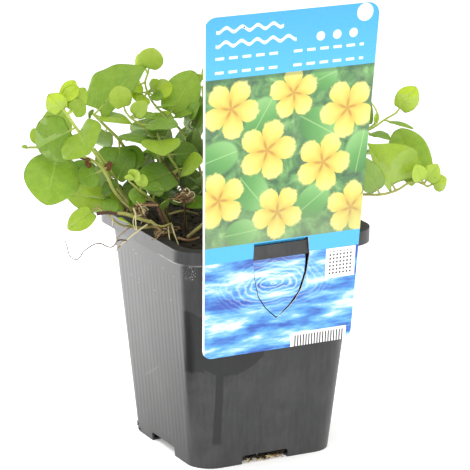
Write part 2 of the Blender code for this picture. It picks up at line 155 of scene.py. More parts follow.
# points: the stem's centre line from the peat outwards. Each leaf is (stem point, tip, width, the way its upper side
# faces, age from 0 for young lime over 1 for old dark green to 2 for withered, cup: how far its sides curl up, and
# its outline if that isn't ROUND). The low leaves deep in the plant are given ages near 1, so that their dark green
# is partly painted shade. leaves are the large ones, each a piece of its own. small and more grow as one piece with
# the stem.
Shoot = namedtuple("Shoot", "radius points leaves small more")
SHOOTS = [
    Shoot(0.85, [(-36, 6, 93.5), (-39, 8, 99.5), (-42, 10, 104.5), (-49.5, 14, 115), (-53.5, 17, 123),
                 (-60, 20, 134), (-65, 21, 141), (-68.5, 20, 146), (-72, 19, 151)],
          [(6, (-59, 33.5, 133.5), 21, FRONT_LEFT_UP, 0.42, 0.0, KIDNEY),
           (6, (-81, 17, 131), 19.5, FRONT, 0.62, 0.04)],
          [(7, (-76, 22, 155), 9, FRONT, 0.05, -0.2), (8, (-65.5, 12, 158.5), 6, FRONT, 0.03, 0.1),
           (7, (-61.5, 12, 155.5), 8, FRONT, 0.32, 0.0)],
          [(8, (-64, 14, 156.5), 5.5, FRONT, 0.1, 0.1), (7, (-61.5, 16, 150.5), 8, FRONT, 0.4, 0.0),
           (3, (-42, 6, 128), 9, UP_FRONT, 0.7, 0.0), (4, (-59, 8, 114.5), 9, FRONT, 0.9, 0.0)]),
    Shoot(0.8, [(-31, 15, 93.5), (-37, 17, 101.5), (-48.5, 20, 112.5), (-54, 20, 123), (-58, 18, 126),
                (-65.5, 14, 127.5), (-73, 10, 128.5), (-80.5, 6, 128.5), (-85, 4, 128)],
          [(6, (-77, 22, 108.5), 23.5, FRONT, 0.48, 0.03), (6, (-74.7, -6, 143.3), 13, FRONT, 0.4, 0.0)],
          [(7, (-83.8, 1, 135.5), 5, FRONT, 0.3, 0.0), (8, (-88.5, 4, 128.5), 3, UP, 0.3, 0.1)],
          [(3, (-63.5, 23, 119), 11, UP_FRONT, 0.6, 0.0), (1, (-43.5, 24, 113), 9, UP_FRONT, 0.6, 0.0),
           (2, (-53.5, 18, 117), 8, FRONT, 0.85, 0.0), (4, (-61.5, 20, 125.5), 4, FRONT, 2, 0.0),
           (3, (-50, 21, 126), 4, UP_FRONT, 2, 0.0)]),
    Shoot(0.85, [(-36, -6, 93.5), (-39.5, -4, 105), (-43.5, 0, 122), (-48, 2, 131), (-53, 3, 136.5),
                 (-58.5, 3, 142)],
          [(5, (-37, -7, 160.5), 19, FRONT_LEFT_UP, 0.48, 0.0, LEFT_SIDED),
           (5, (-42, 7, 139), 9, UP, 0.3, 0.0, NARROW), (3, (-47, 12, 116), 20, FRONT, 0.62, 0.04, POINTED)],
          [(4, (-56, -8, 126), 9, FRONT, 0.7, 0.0), (2, (-54, -8, 119), 9, FRONT, 0.75, 0.0)],
          [(5, (-60.5, 5, 143.5), 4, FRONT, 0.8, 0.2), (1, (-46, 6, 112), 8, FRONT, 0.85, 0.0),
           (3, (-34.5, 3, 134.5), 8, UP, 0.6, 0.0), (2, (-49, -8, 114.5), 14, FRONT, 1, 0.0),
           (2, (-34.5, -6, 115), 13, FRONT, 1, 0.0), (1, (-46.5, -8, 109.5), 12, FRONT, 1, 0.0)]),
    Shoot(0.6, [(-27, -3, 93.5), (-29.5, 2, 109.5), (-31.5, 5, 125.5), (-35, 6, 134), (-39, 7, 139), (-43, 8, 142),
                (-45, 8, 144.5)],
          [(6, (-48.5, 13, 156.5), 9.5, FRONT, 0.05, -0.2), (4, (-23.5, 13, 140), 12, UP, 0.55, 0.0)],
          [(5, (-36, 16, 151), 7, FRONT, 0.12, 0.0)],
          [(1, (-24, 14, 118), 9, UP_FRONT, 0.85, 0.0), (5, (-32, 0, 141.5), 6, UP, 0.5, 0.0),
           (3, (-26, -2, 130), 10, FRONT, 0.95, 0.0), (2, (-23.5, 0, 122), 11, FRONT, 0.95, 0.0),
           (1, (-35, 4, 107.5), 10, FRONT, 1, 0.0)]),
    Shoot(0.6, [(-20, 5, 93.5), (-21, 8, 107), (-23.5, 10, 120.5), (-27.5, 11, 127), (-30, 11, 132),
                (-31.5, 11, 135)],
          [(5, (-29, 26, 131), 16, UP, 0.35, 0.12), (4, (-48, 12, 135), 9, UP, 0.6, 0.0),
           (2, (-39, 24, 117), 15, UP_FRONT, 0.65, 0.0), (2, (-13, 20, 127), 11, UP_FRONT, 0.35, 0.0)],
          [(5, (-33, -1, 137), 8, UP, 0.6, 0.0), (1, (-12, 22, 108), 8, UP_FRONT, 0.75, 0.0)],
          [(1, (-30, 20, 112), 9, UP_FRONT, 0.8, 0.0), (2, (-14, 8, 113), 9, FRONT, 0.95, 0.0),
           (2, (-27.5, 16, 116), 6, FRONT, 2, 0.0), (1, (-17, 10, 104.5), 7, UP_FRONT, 2, 0.0),
           (1, (-24, 12, 110.5), 5, FRONT, 2, 0.0), (1, (-20, 15, 113), 5, UP, 2, 0.0),
           (3, (-15, 4, 126.5), 10, FRONT, 0.8, 0.0)]),
    Shoot(0.65, [(-12, -3, 93.5), (-13, -4, 108), (-15, -6, 118.5), (-18, -8, 124.5), (-22, -10, 131.5),
                 (-28, -11, 137.5), (-33, -12, 142), (-36.5, -12, 148), (-37.5, -12, 152.5), (-36.5, -12, 156)],
          [(9, (-34, -8, 168), 10.5, FRONT, 0.0, -0.15), (5, (-17, -22, 155), 15, FRONT, 0.42, 0.0),
           (3, (-11, -5, 145), 12, LEFT_UP, 0.7, 0.0), (6, (-25, -2, 145), 9, UP, 0.5, 0.0)],
          [(9, (-41, -18, 163), 6, LEFT_FRONT, 0.05, 0.0), (8, (-43, -5, 151), 6, FRONT, 0.1, 0.0),
           (7, (-40, -4, 145.5), 7, FRONT, 0.15, 0.0), (7, (-26, -14, 150.5), 8, FRONT, 0.05, 0.25),
           (2, (-16, 4, 137), 5, FRONT, 0.9, 0.0)],
          [(7, (-32, -8, 154.5), 5, LEFT_FRONT, 0.3, 0.0), (7, (-43.5, -8, 149), 7, FRONT, 0.12, 0.0),
           (7, (-30, -8, 146.5), 5, UP_FRONT, 0.5, 0.0), (3, (-17, -1, 134.5), 6, FRONT, 0.95, 0.0),
           (4, (-14.5, -6, 145.5), 9, LEFT_UP, 0.55, 0.0), (2, (-24.5, -8, 123.5), 12, FRONT, 1, 0.0),
           (1, (-18.5, -4, 101.5), 11, FRONT, 1, 0.0), (5, (-18, -4, 141), 9, UP, 0.5, 0.0)]),
    Shoot(0.6, [(-24.5, 18, 93.5), (-29.5, 20, 105), (-33.5, 22, 110.5), (-38.5, 27, 116), (-43, 29, 120.5)],
          [(2, (-42.5, 24, 112.5), 7, FRONT, 0.6, 0.0)],
          [(4, (-39, 33, 126), 6, FRONT, 0.05, 0.0), (1, (-28, 31, 113), 6, UP_FRONT, 0.5, 0.0)],
          [(4, (-42.5, 33, 124.5), 4, FRONT, 0.05, 0.0), (2, (-31.5, 23, 119), 7, FRONT, 0.6, 0.0),
           (2, (-43.5, 24, 114), 9, UP_FRONT, 0.55, 0.0), (3, (-37, 31, 124), 5, FRONT, 0.1, 0.0)]),
    Shoot(0.7, [(-40, -2, 93.5), (-44, 2, 101.5), (-49, 5, 105.5), (-53, 3, 106.5), (-57.5, 0, 110)],
          [(2, (-69.5, 14, 111), 12, FRONT, 0.3, 0.0), (4, (-67, -4, 120), 11, UP_FRONT, 0.6, 0.0)],
          [(2, (-54, 16, 106), 7, FRONT, 0.6, 0.0)],
          [(1, (-54.5, 10, 109), 7, UP_FRONT, 0.25, 0.0), (2, (-52, 2, 112), 9, FRONT, 0.9, 0.0)]),
    Shoot(0.65, [(18, 2, 93.5), (27.5, 8, 102), (40, 12, 109.5), (53.5, 14, 111.5), (60.5, 14, 111.5),
                 (67, 13, 113), (74, 12, 116.5), (78.5, 12, 115.5), (80, 12, 114.5)],
          [(5, (55, 13, 133), 17, FRONT, 0.36, 0.0, RIGHT_SIDED), (7, (68, -6, 134.5), 16.5, FRONT, 0.42, 0.0),
           (4, (50, 26, 132), 10.5, FRONT, 0.75, 0.0, NARROW)],
          [(7, (83.5, 19, 126), 8, FRONT, 0.05, 0.0), (7, (74.5, 20, 126), 7, FRONT, 0.05, 0.0),
           (8, (87.5, 17, 119.5), 7.5, FRONT, 0.1, 0.0)],
          []),
    Shoot(0.6, [(7, -9, 93.5), (21.5, -8, 105), (36, -6, 118.5), (48.5, -4, 129.5), (54.5, -3, 134),
                (58.5, -2, 136.5), (62.5, -2, 139.5), (67, -1, 142.5)],
          [(7, (75, 2, 154.5), 9.8, FRONT, 0.06, -0.15), (6, (74, 7, 138), 3, UP, 0.5, 0.0),
           (4, (46, -12, 155), 13, FRONT, 0.7, 0.0)],
          [(4, (64.5, 5, 133), 6, UP, 0.6, 0.0), (2, (44, -16, 116), 11, UP_BACK, 0.7, 0.0)],
          [(2, (28, 4, 124), 10, UP_FRONT, 0.6, 0.0), (5, (59.5, -4, 142), 2.2, FRONT, 0.25, 0.0)]),
    Shoot(0.7, [(2, -14, 93.5), (3, -17, 108), (5, -20, 125), (6, -24, 142), (8, -27, 157)],
          [(3, (22, -17, 148), 17, UP_FRONT, 0.5, 0.0), (3, (-10, -34, 147), 17, UP_BACK, 0.6, 0.0)],
          [(2, (16, -9, 132), 13, UP_FRONT, 0.65, 0.0), (4, (14, -20, 170), 11, FRONT, 0.15, 0.0),
           (4, (2, -36, 168), 11, BACK, 0.2, 0.0)],
          [(2, (-8, -30, 131), 13, UP_BACK, 0.65, 0.0), (1, (14, -22, 113), 10, UP, 0.8, 0.0)]),
    Shoot(0.7, [(12, -24, 93.5), (17, -30, 104), (24, -37, 116), (32, -44, 124), (40, -52, 128)],
          [(3, (47, -36, 132), 17, UP_BACK, 0.5, 0.0), (3, (22, -58, 124), 17, BACK, 0.6, 0.0)],
          [(2, (30, -26, 124), 12, UP, 0.65, 0.0), (1, (8, -42, 105), 12, UP_BACK, 0.75, 0.0),
           (4, (50, -60, 132), 10, UP_BACK, 0.2, 0.0)],
          [(4, (36, -64, 134), 9, BACK, 0.2, 0.0), (2, (14, -46, 118), 11, BACK, 0.7, 0.0)]),
    Shoot(0.7, [(-20, -22, 93.5), (-22, -26, 104), (-25, -31, 115), (-28, -37, 122), (-31, -43, 125)],
          [(3, (-44, -30, 130), 16, UP_BACK, 0.5, 0.0), (3, (-16, -50, 119), 16, BACK, 0.6, 0.0)],
          [(2, (-39, -24, 118), 12, UP, 0.65, 0.0), (1, (-14, -38, 106), 11, UP_BACK, 0.75, 0.0),
           (4, (-36.5, -40.5, 132), 10, UP_BACK, 0.2, 0.0)],
          [(1, (-34, -22, 108), 10, UP, 0.8, 0.0), (4, (-28, -48, 131), 8, BACK, 0.2, 0.0),
           (2, (-29.5, -28, 109.5), 13, FRONT, 1, 0.0), (2, (-18, -26, 112), 13, FRONT, 1, 0.0),
           (1, (-14.5, -22, 98.5), 12, FRONT, 1, 0.0), (1, (-28, -20, 100), 12, FRONT, 1, 0.0),
           (3, (-36, -34, 117.5), 11, FRONT, 0.95, 0.0)]),
    Shoot(0.65, [(14, -18, 93.5), (26, -22, 104), (40, -27, 113), (54, -31, 117), (66, -34, 117)],
          [(3, (62, -17, 123), 15, UP, 0.5, 0.0), (3, (56, -47, 114), 15, UP_BACK, 0.6, 0.0)],
          [(2, (40, -12, 112), 11, UP, 0.7, 0.0), (4, (77, -29, 121), 10, UP, 0.15, 0.0),
           (4, (73, -43.2, 116), 10, UP_BACK, 0.2, 0.0)],
          [(2, (42, -41, 112), 11, UP_BACK, 0.7, 0.0)]),
    Shoot(0.65, [(4, 10, 93.5), (6, 12, 106), (9, 13, 121), (12, 13, 135), (16, 12, 148)],
          [(3, (28, 13, 141), 15, UP_FRONT, 0.5, 0.0), (3, (-3, 14, 146), 15, UP_FRONT, 0.5, 0.0)],
          [(2, (22, 18, 122), 11, UP_FRONT, 0.65, 0.0), (2, (-5, 22, 118), 11, UP_FRONT, 0.7, 0.0),
           (4, (24, 12, 158), 9, FRONT, 0.15, 0.0)],
          [(4, (8, 12, 159), 9, FRONT, 0.15, 0.0), (1, (16, 18, 108), 9, UP_FRONT, 0.8, 0.0)]),
    Shoot(0.6, [(-27, 26, 93.5), (-30, 27, 99.5), (-40, 31, 101.5), (-47, 30, 102.5), (-51.5, 26, 105.5),
                (-56, 22, 107.5)],
          [(5, (-68.5, 23, 98.5), 8.5, FRONT, 0.34, 0.0)],
          [(2, (-47, 37, 107), 6, UP, 0.12, 0.0), (4, (-50, 18, 110), 7, FRONT, 0.6, 0.0)],
          []),
    Shoot(0.7, [(-8, -28, 93.5), (-10, -32, 106), (-12, -36, 120), (-13, -40, 133), (-14, -43, 143)],
          [(3, (-29, -33, 141), 16, UP_BACK, 0.5, 0.0), (3, (1, -50, 136), 16, BACK, 0.55, 0.0)],
          [(2, (-8, -53, 119), 12, BACK, 0.7, 0.0), (4, (-20, -42, 147), 10, BACK, 0.15, 0.0),
           (4, (-5, -47, 155), 10, BACK, 0.15, 0.0)],
          [(2, (-24, -30, 124), 12, UP, 0.7, 0.0), (1, (2, -36, 112), 11, UP_BACK, 0.75, 0.0),
           (1, (-19, -30, 101), 13, FRONT, 1, 0.0), (2, (-19, -34, 117.5), 12, FRONT, 0.95, 0.0),
           (3, (-20, -38, 129), 12, FRONT, 0.9, 0.0)]),
]

# The slots of a shoot's finishes.
STEM, LEAF, ROOT, PALE_ROOT, DRY = range(5)
# Thin parts that grow with a shoot, as (shoot, finish, radius at the start, radius at the end, points).
FIBRES = [
    (16, PALE_ROOT, 0.4, 0.22, [(-35.5, 34, 103.5), (-39, 40, 102.5), (-43.5, 43, 99.5), (-46, 44, 97.5)]),
    (16, ROOT, 0.28, 0.14, [(-46, 44, 97.5), (-47, 44, 96.5), (-48, 44.5, 94.5)]),
    (16, DRY, 0.3, 0.2, [(-43.5, 43.5, 99.5), (-47, 42, 99), (-49.5, 43, 96.5), (-55, 43, 98),
                         (-60.5, 43, 95), (-64.5, 43, 91), (-68.5, 43, 99)]),
    (16, ROOT, 0.25, 0.12, [(-41.5, 34, 103), (-44.5, 41, 102.5), (-47, 43, 100.5), (-48, 44, 97)]),
    (7, PALE_ROOT, 0.3, 0.16, [(-50, 33, 107), (-49.5, 36, 106.5), (-49.5, 38, 104)]),
    (7, PALE_ROOT, 0.42, 0.18, [(-41, 33, 110), (-40, 38, 108.5), (-40, 40, 106.5), (-39.5, 41, 103)]),
    (7, PALE_ROOT, 0.24, 0.12, [(-40, 38, 109), (-41, 40, 106.5), (-40, 41, 103)]),
    (16, ROOT, 0.34, 0.2, [(-33, 32, 102.5), (-30, 36, 101.5), (-31.5, 40, 99.5), (-33.5, 41, 99)]),
    (5, PALE_ROOT, 0.32, 0.2, [(-25.5, 30, 102.5), (-24.5, 35, 100.5), (-22.5, 38, 96)]),
    (5, PALE_ROOT, 0.26, 0.2, [(-27, 30, 102), (-26.5, 35, 99.5), (-26, 37, 97)]),
    (5, STEM, 0.95, 0.8, [(-11.5, 32, 104), (-15.5, 35, 101.5), (-19, 37, 99)]),
    (5, DRY, 0.4, 0.25, [(-20, 16, 95.5), (-21.5, 20, 115), (-26.5, 22, 123.5), (-30, 22, 128.5)]),
    (7, DRY, 0.5, 0.4, [(-28, 28, 97), (-28.5, 30, 103.5), (-30, 30, 108), (-31.5, 30, 111.5)]),
    (7, DRY, 0.45, 0.4, [(-31.5, 30, 111.5), (-36, 31, 111.5), (-41, 31, 110.5)]),
    (3, STEM, 0.45, 0.35, [(-46.5, 8, 110), (-51, 16, 121.5), (-57.5, 18, 131.5)]),
    (2, DRY, 0.5, 0.4, [(-58.5, 18, 126), (-62.5, 16, 126.5), (-66.5, 14, 127.5)]),
    (10, STEM, 0.45, 0.3, [(55, -3, 134.5), (59.5, -4, 139.5), (55.5, -5, 148.5)]),
    (6, DRY, 0.18, 0.12, [(-17, -2, 134.5), (-19, -2, 136), (-18, -2, 138.5), (-16, -2, 138)]),
    (16, DRY, 0.75, 0.7, [(-56, 36, 108.5), (-52, 36, 109), (-47, 36, 108.5)]),
    (16, STEM, 0.8, 0.75, [(-47.5, 36, 109), (-44, 36, 108.5), (-40.5, 35, 107), (-34.5, 33, 104.5)]),
    (7, ROOT, 0.6, 0.5, [(-40, 31, 111.5), (-35, 31, 111), (-31, 31, 111)]),
    (7, DRY, 0.7, 0.55, [(-31, 31, 110), (-30, 31, 107), (-28.5, 30, 102.5)]),
    (7, ROOT, 0.5, 0.3, [(-29.5, 32, 101), (-31.5, 33, 99.5), (-32.5, 33, 96.5)]),
    (5, ROOT, 0.6, 0.5, [(-23, 36, 98.5), (-18.5, 36, 97.5), (-14, 35, 98.5)]),
    (5, STEM, 0.6, 0.5, [(-34.5, 33, 105), (-30, 33, 102.5), (-25.5, 32, 103.5)]),
    (16, STEM, 0.5, 0.35, [(-27, 20, 104), (-21.5, 18, 105), (-15, 12, 102)]),
]
# Knots of fine roots, as (shoot, middle, size, how many roots).
ROOT_KNOTS = [(7, (-38.5, 32, 108.5), (4.0, 3.0, 3.6), 40), (5, (-20.5, 26, 113), (5.5, 2.5, 3.6), 46),
              (16, (-29, 30, 99.5), (5.0, 3.0, 2.4), 30)]

# The studio, in metres. Each light is (name, place, size, watts).
FLOOR_REACH = 3.0
LIGHT_AIM = (0.0, 0.0, 0.1)
LIGHTS = [("left_back", (-0.7, 1.25, 0.35), (1.1, 0.9), 7.0),
          ("overhead", (-0.2, -0.3, 1.3), (1.2, 1.2), 4.0),
          ("front", (0.3, -1.4, 0.6), (0.9, 0.9), 8.0)]
CARD_REACH = (0.14, 0.045)
CARD_PLACE = (-0.205, 0.06, 0.001)
CARD_TURN = math.radians(145)
SPOT_PLACE = (-0.42, 0.5, 0.6)
SPOT_AIM = (-0.17, 0.28, 0.0)
CAMERA_PLACE = (-0.5805, -1.1241, 0.4515)
CAMERA_RIGHT = (0.8892, -0.4574, 0.0068)
CAMERA_UP = (0.12, 0.2475, 0.9614)
CAMERA_BACK = (-0.4415, -0.8541, 0.275)
CAMERA_LENS = 239.9

random.seed(7)


class Signal:
    """A shader socket that adds Math nodes when it is used in Python arithmetic."""

    def __init__(self, shader, socket):
        self.shader = shader
        self.socket = socket

    def __add__(self, other):
        return self.shader.math("ADD", self, other)

    def __sub__(self, other):
        return self.shader.math("SUBTRACT", self, other)

    def __rsub__(self, other):
        return self.shader.math("SUBTRACT", other, self)

    def __mul__(self, other):
        return self.shader.math("MULTIPLY", self, other)

    def __truediv__(self, other):
        return self.shader.math("DIVIDE", self, other)

    def __pow__(self, other):
        return self.shader.math("POWER", self, other)

    __radd__ = __add__
    __rmul__ = __mul__

    def above(self, edge, soft):
        """0 below the edge, 1 above it, with a smooth change as wide as soft."""
        inputs = {"Value": self, "From Min": edge - soft / 2, "From Max": edge + soft / 2}
        return self.shader.add("MapRange", {"interpolation_type": "SMOOTHSTEP"}, inputs)

    def within(self, low, high, soft):
        """1 between two edges, 0 outside them."""
        return self.above(low, soft) * (1 - self.above(high, soft))


class Shader:
    """A material's nodes: add() makes one node and returns one of its outputs."""

    def __init__(self, name, roughness=0.5, **constants):
        self.material = bpy.data.materials.new(name)
        self.material.use_nodes = True
        self.tree = self.material.node_tree
        self.surface = self.tree.nodes["Principled BSDF"]
        self.surface.inputs["Roughness"].default_value = roughness
        for socket, value in constants.items():
            self.surface.inputs[socket.replace("_", " ")].default_value = value

    def add(self, kind, settings=None, inputs=None, output=0):
        node = self.tree.nodes.new("ShaderNode" + kind)
        for name, value in (settings or {}).items():
            if name == "stops":
                self.set_stops(node.color_ramp, value)
            else:
                setattr(node, name, value)
        for name, value in (inputs or {}).items():
            self.feed(node.inputs[name], value)
        return Signal(self, node.outputs[output])

    def set_stops(self, ramp, stops):
        while len(ramp.elements) < len(stops):
            ramp.elements.new(1.0)
        for element, (position, colour) in zip(ramp.elements, stops):
            element.position = position
            element.color = colour

    def feed(self, socket, value):
        if isinstance(value, Signal):
            self.tree.links.new(value.socket, socket)
        else:
            socket.default_value = value

    def paint(self, socket, value):
        self.feed(self.surface.inputs[socket], value)

    def math(self, operation, first, second=0.0):
        return self.add("Math", {"operation": operation}, {0: first, 1: second})

    def most(self, first, *others):
        """The largest of several masks."""
        for other in others:
            first = self.math("MAXIMUM", first, other)
        return first

    def mix(self, factor, first, second):
        return self.add("Mix", {"data_type": "RGBA"}, {0: factor, 6: first, 7: second}, 2)

    def ramp(self, value, stops):
        return self.add("ValToRGB", {"stops": stops}, {0: value})

    def noise(self, where, scale, detail=3.0, roughness=0.5, distortion=0.0):
        inputs = {"Vector": where, "Scale": scale, "Detail": detail, "Roughness": roughness, "Distortion": distortion}
        return self.add("TexNoise", None, inputs)

    def spots(self, where, scale, size, soft, share):
        """Round spots, one for a share of the cells of the given scale."""
        cells = {"Vector": where, "Scale": scale}
        distance = self.add("TexVoronoi", None, cells)
        pick = self.add("TexVoronoi", None, cells, 1)
        chance = self.add("SeparateColor", None, {0: pick})
        return (1 - distance.above(size, soft)) * (1 - chance.above(share, 0.01))

    def place(self, scale=1000.0):
        """Object coordinates in millimetres."""
        coordinates = self.add("TexCoord", None, None, 3)
        return self.add("Mapping", None, {"Vector": coordinates, "Scale": (scale, scale, scale)})

    def axes(self, vector):
        return [self.add("SeparateXYZ", None, {0: vector}, axis) for axis in range(3)]

    def bump(self, height, distance, strength=1.0):
        made = self.add("Bump", None, {"Height": height, "Distance": distance * MM, "Strength": strength})
        self.paint("Normal", made)


def srgb(red, green, blue):
    """A colour given as 0 to 255 in sRGB, as the shader's linear values."""
    linear = [(part / 255 / 12.92) if part < 10.3 else ((part / 255 + 0.055) / 1.055) ** 2.4
              for part in (red, green, blue)]
    return (*linear, 1.0)


def wet_marks(shader, where, x, y, z, ragged):
    """Where the pot's front is wet: beside the label, in a pool and a drip under it, and in a few drops."""
    front = (0 - y).above(20.0, 1.0)
    corner = (x + ragged * 0.5).within(*WET_CORNER[0], 1.0) * (z + ragged * 0.8).within(*WET_CORNER[1], 1.0)
    drip = (x + ragged * 0.08).within(*WET_DRIP[0], 0.6) * z.within(*WET_DRIP[1], 2.0)
    bowl = (x - POOL_MIDDLE) * (x - POOL_MIDDLE) * 0.03
    pool = (x + ragged * 0.5).within(*WET_POOL[0], 1.0) * (z - bowl + ragged * 0.3).within(*WET_POOL[1], 1.0)
    drops = shader.spots(where, 0.12, 0.2, 0.06, 0.35) * x.within(*WET_DROPS[0], 2.0) * z.within(*WET_DROPS[1], 2.0)
    return shader.most(corner, drip, pool, drops) * front


def white_dirt_and_edge_highlight(shader, where, x, y, z, ragged):
    """White powder under the lip at the front left corner, and a pale line along the lip's lower edge there that is
    partly dust and partly a painted highlight. Returns them without and with a few crumbs.
    """
    near_corner = (x + y).within(-86.0, -72.0, 5.0) * z.within(84.0, 92.5, 2.0)
    powder_and_edge_highlight = shader.spots(where, 1.7, 0.3, 0.15, 0.5) * near_corner * (z * 0.1 + ragged * 0.3).above(8.9, 0.5)
    # Partly dust and partly a painted highlight: a pale line where the lip's lower edge catches the light.
    dust_and_edge_highlight = z.within(91.4, 92.7, 0.4) * (x + y).within(-88.0, -66.0, 6.0) * (ragged * 0.12 + 0.5)
    powder_and_edge_highlight = shader.most(powder_and_edge_highlight, dust_and_edge_highlight)
    crumbs = shader.spots(where, 0.9, 0.16, 0.08, 0.03) * z.within(62.0, 90.0, 4.0)
    return powder_and_edge_highlight, shader.most(powder_and_edge_highlight, crumbs)


def pot_finish():
    """Black nursery-pot plastic: flutes, scuffs, wet stains, white powder under the lip with a painted highlight
    along the lip's lower edge, and specks of peat.
    """
    shader = Shader("pot_plastic", 0.32)
    where = shader.place()
    x, y, z = shader.axes(where)
    side = shader.math("ABSOLUTE", x) - shader.math("ABSOLUTE", y)
    on_side = side.above(0.0, 0.5)
    along = x * (1 - on_side) + y * on_side
    flute = shader.math("COSINE", along * (2 * math.pi / FLUTE_PITCH))
    fluted = (1 - z.above(FLUTE_TOP, 2.0)) * z.above(FLUTE_FOOT, 1.0)
    fluted = fluted * (1 - shader.math("ABSOLUTE", along).above(FLUTE_REACH, 3.0))
    grain = shader.noise(where, 1.6, 4.0, 0.6)
    streaky = shader.add("Mapping", None, {"Vector": where, "Scale": (1.0, 1.0, 0.12)})
    scuffs = shader.noise(streaky, 0.6, 4.0, 0.65)
    clouds = shader.noise(where, 0.09, 4.0, 0.6)
    ragged = (shader.noise(where, 0.11, 5.0, 0.55) - 0.5) * 15.0

    wet = wet_marks(shader, where, x, y, z, ragged)
    powder_and_edge_highlight, white = white_dirt_and_edge_highlight(shader, where, x, y, z, ragged)

    plastic = shader.ramp(scuffs, [(0.3, srgb(36, 36, 37)), (0.7, srgb(51, 51, 52))])
    plastic = shader.mix(clouds.above(0.56, 0.22) * 0.3, plastic, srgb(70, 69, 68))
    plastic = shader.mix(wet * 0.9, plastic, srgb(12, 12, 13))
    specks = shader.spots(where, 0.16, 0.10, 0.05, 0.14)
    plastic = shader.mix(specks * 0.8, plastic, srgb(24, 20, 17))
    # White powder and crumbs, and the painted highlight along the lip's lower edge.
    plastic = shader.mix(white * 0.8, plastic, srgb(196, 196, 194))
    scratch = shader.math("ABSOLUTE", (z - 33.0) + (y - 6.0) * 0.55) - 0.25
    scratch = (1 - scratch.above(0.0, 0.3)) * y.within(-2.0, 12.0, 3.0) * (0 - x).above(25.0, 1.0)
    plastic = shader.mix(scratch * 0.16, plastic, srgb(140, 140, 138))
    shader.paint("Base Color", plastic)
    shader.paint("Roughness", 0.30 + scuffs * 0.1 + clouds * 0.06 - wet * 0.08 + powder_and_edge_highlight * 0.3)
    shader.bump(flute * fluted * 0.22 + grain * 0.05, 0.09)
    return shader.material


def soiled_finish():
    """The pot's inner wall, smeared with wet peat."""
    shader = Shader("soiled_wall", 0.7)
    where = shader.place()
    smears = shader.noise(where, 0.35, 5.0, 0.65)
    shader.paint("Base Color", shader.ramp(smears, [(0.35, srgb(14, 11, 7)), (0.7, srgb(40, 35, 28))]))
    shader.bump(smears, 0.2)
    return shader.material


def peat_finish():
    """Dark, lumpy peat with pale fibres in it."""
    shader = Shader("peat", 0.95)
    where = shader.place()
    lumps = shader.noise(where, 0.5, 6.0, 0.7)
    fibres = shader.noise(where, 2.5, 3.0, 0.6, 1.5)
    soil = shader.ramp(lumps, [(0.3, srgb(10, 8, 4)), (0.5, srgb(36, 29, 12)), (0.72, srgb(70, 56, 26))])
    soil = shader.mix(fibres.above(0.66, 0.06) * 0.6, soil, srgb(112, 92, 52))
    shader.paint("Base Color", soil)
    shader.bump(lumps + fibres * 0.3, 0.9)
    return shader.material


def leaf_finish():
    """A glossy leaf. The growth attribute holds its age, dryness and under side; the UV map runs over the blade. Age
    1 gives the darkest green, which on the low leaves deep in the plant is painted shade as well as old leaf colour.
    """
    shader = Shader("leaf_green", 0.36, Specular_IOR_Level=0.3, Subsurface_Weight=0.06, Subsurface_Scale=0.0012,
                    Subsurface_Radius=(0.6, 1.0, 0.3), Coat_Roughness=0.22)
    where = shader.place()
    growth = shader.add("Attribute", {"attribute_name": "growth"})
    age_and_shade, dry, under = [shader.add("SeparateColor", None, {0: growth}, part) for part in range(3)]
    blade = shader.add("UVMap", {"uv_map": "blade"})
    across, along, _ = shader.axes(blade)
    off = shader.math("ABSOLUTE", across - 0.5)
    mottle = shader.noise(where, 0.35, 4.0, 0.6)
    fine = shader.noise(where, 2.2, 3.0, 0.6)
    midrib = 1 - (off / (1.06 - along)).above(0.022, 0.03)
    reach = along - (off ** 0.8) * 0.75
    ribs = shader.math("ABSOLUTE", shader.math("FRACT", reach * 5.5 + 0.3) - 0.5)
    side_veins = (1 - ribs.above(0.05, 0.07)) * (1 - off.above(0.36, 0.1))
    # The darkest stop is also painted shade: the low leaves deep in the plant are set near age 1 so they look shaded.
    green = shader.ramp(age_and_shade + (mottle - 0.5) * 0.3, [
        (0.0, srgb(172, 198, 34)), (0.3, srgb(146, 174, 44)), (0.55, srgb(110, 146, 36)), (0.8, srgb(80, 114, 22)),
        (1.0, srgb(42, 66, 8))])
    green = shader.mix(fine.above(0.6, 0.2) * 0.16, green, srgb(180, 204, 84))
    green = shader.mix(midrib * 0.22, green, srgb(190, 212, 104))
    green = shader.mix(side_veins * 0.08, green, srgb(186, 210, 104))
    green = shader.mix(under * 0.4, green, srgb(156, 182, 100))
    specks = shader.spots(where, 0.35, 0.09, 0.05, 0.05)
    green = shader.mix(specks * 0.8, green, srgb(40, 34, 22))
    withered = shader.ramp(fine, [(0.35, srgb(58, 34, 20)), (0.65, srgb(134, 84, 46))])
    shader.paint("Base Color", shader.mix(dry, green, withered))
    shader.paint("Roughness", 0.37 + mottle * 0.14 + under * 0.12 + dry * 0.3)
    shader.paint("Coat Weight", (1 - under) * (1 - dry) * 0.1)
    shader.bump(fine * 0.25 + mottle * 1.1 - midrib * 0.7 - side_veins * 0.35, 0.16)
    return shader.material


def stem_finish():
    """A fleshy stem, olive and red-brown near the peat and yellow-green above."""
    shader = Shader("stem_green", 0.42, Subsurface_Weight=0.1, Subsurface_Scale=0.001)
    where = shader.place()
    height = shader.axes(where)[2]
    streaks = shader.noise(where, 0.5, 4.0, 0.6)
    level = (height - 92.0) / 60.0 + (streaks - 0.5) * 0.5
    green = shader.ramp(level, [
        (0.0, srgb(96, 74, 38)), (0.2, srgb(134, 128, 64)), (0.45, srgb(154, 162, 72)), (1.0, srgb(170, 190, 76))])
    shader.paint("Base Color", green)
    shader.bump(shader.noise(where, 3.0, 3.0), 0.06)
    return shader.material


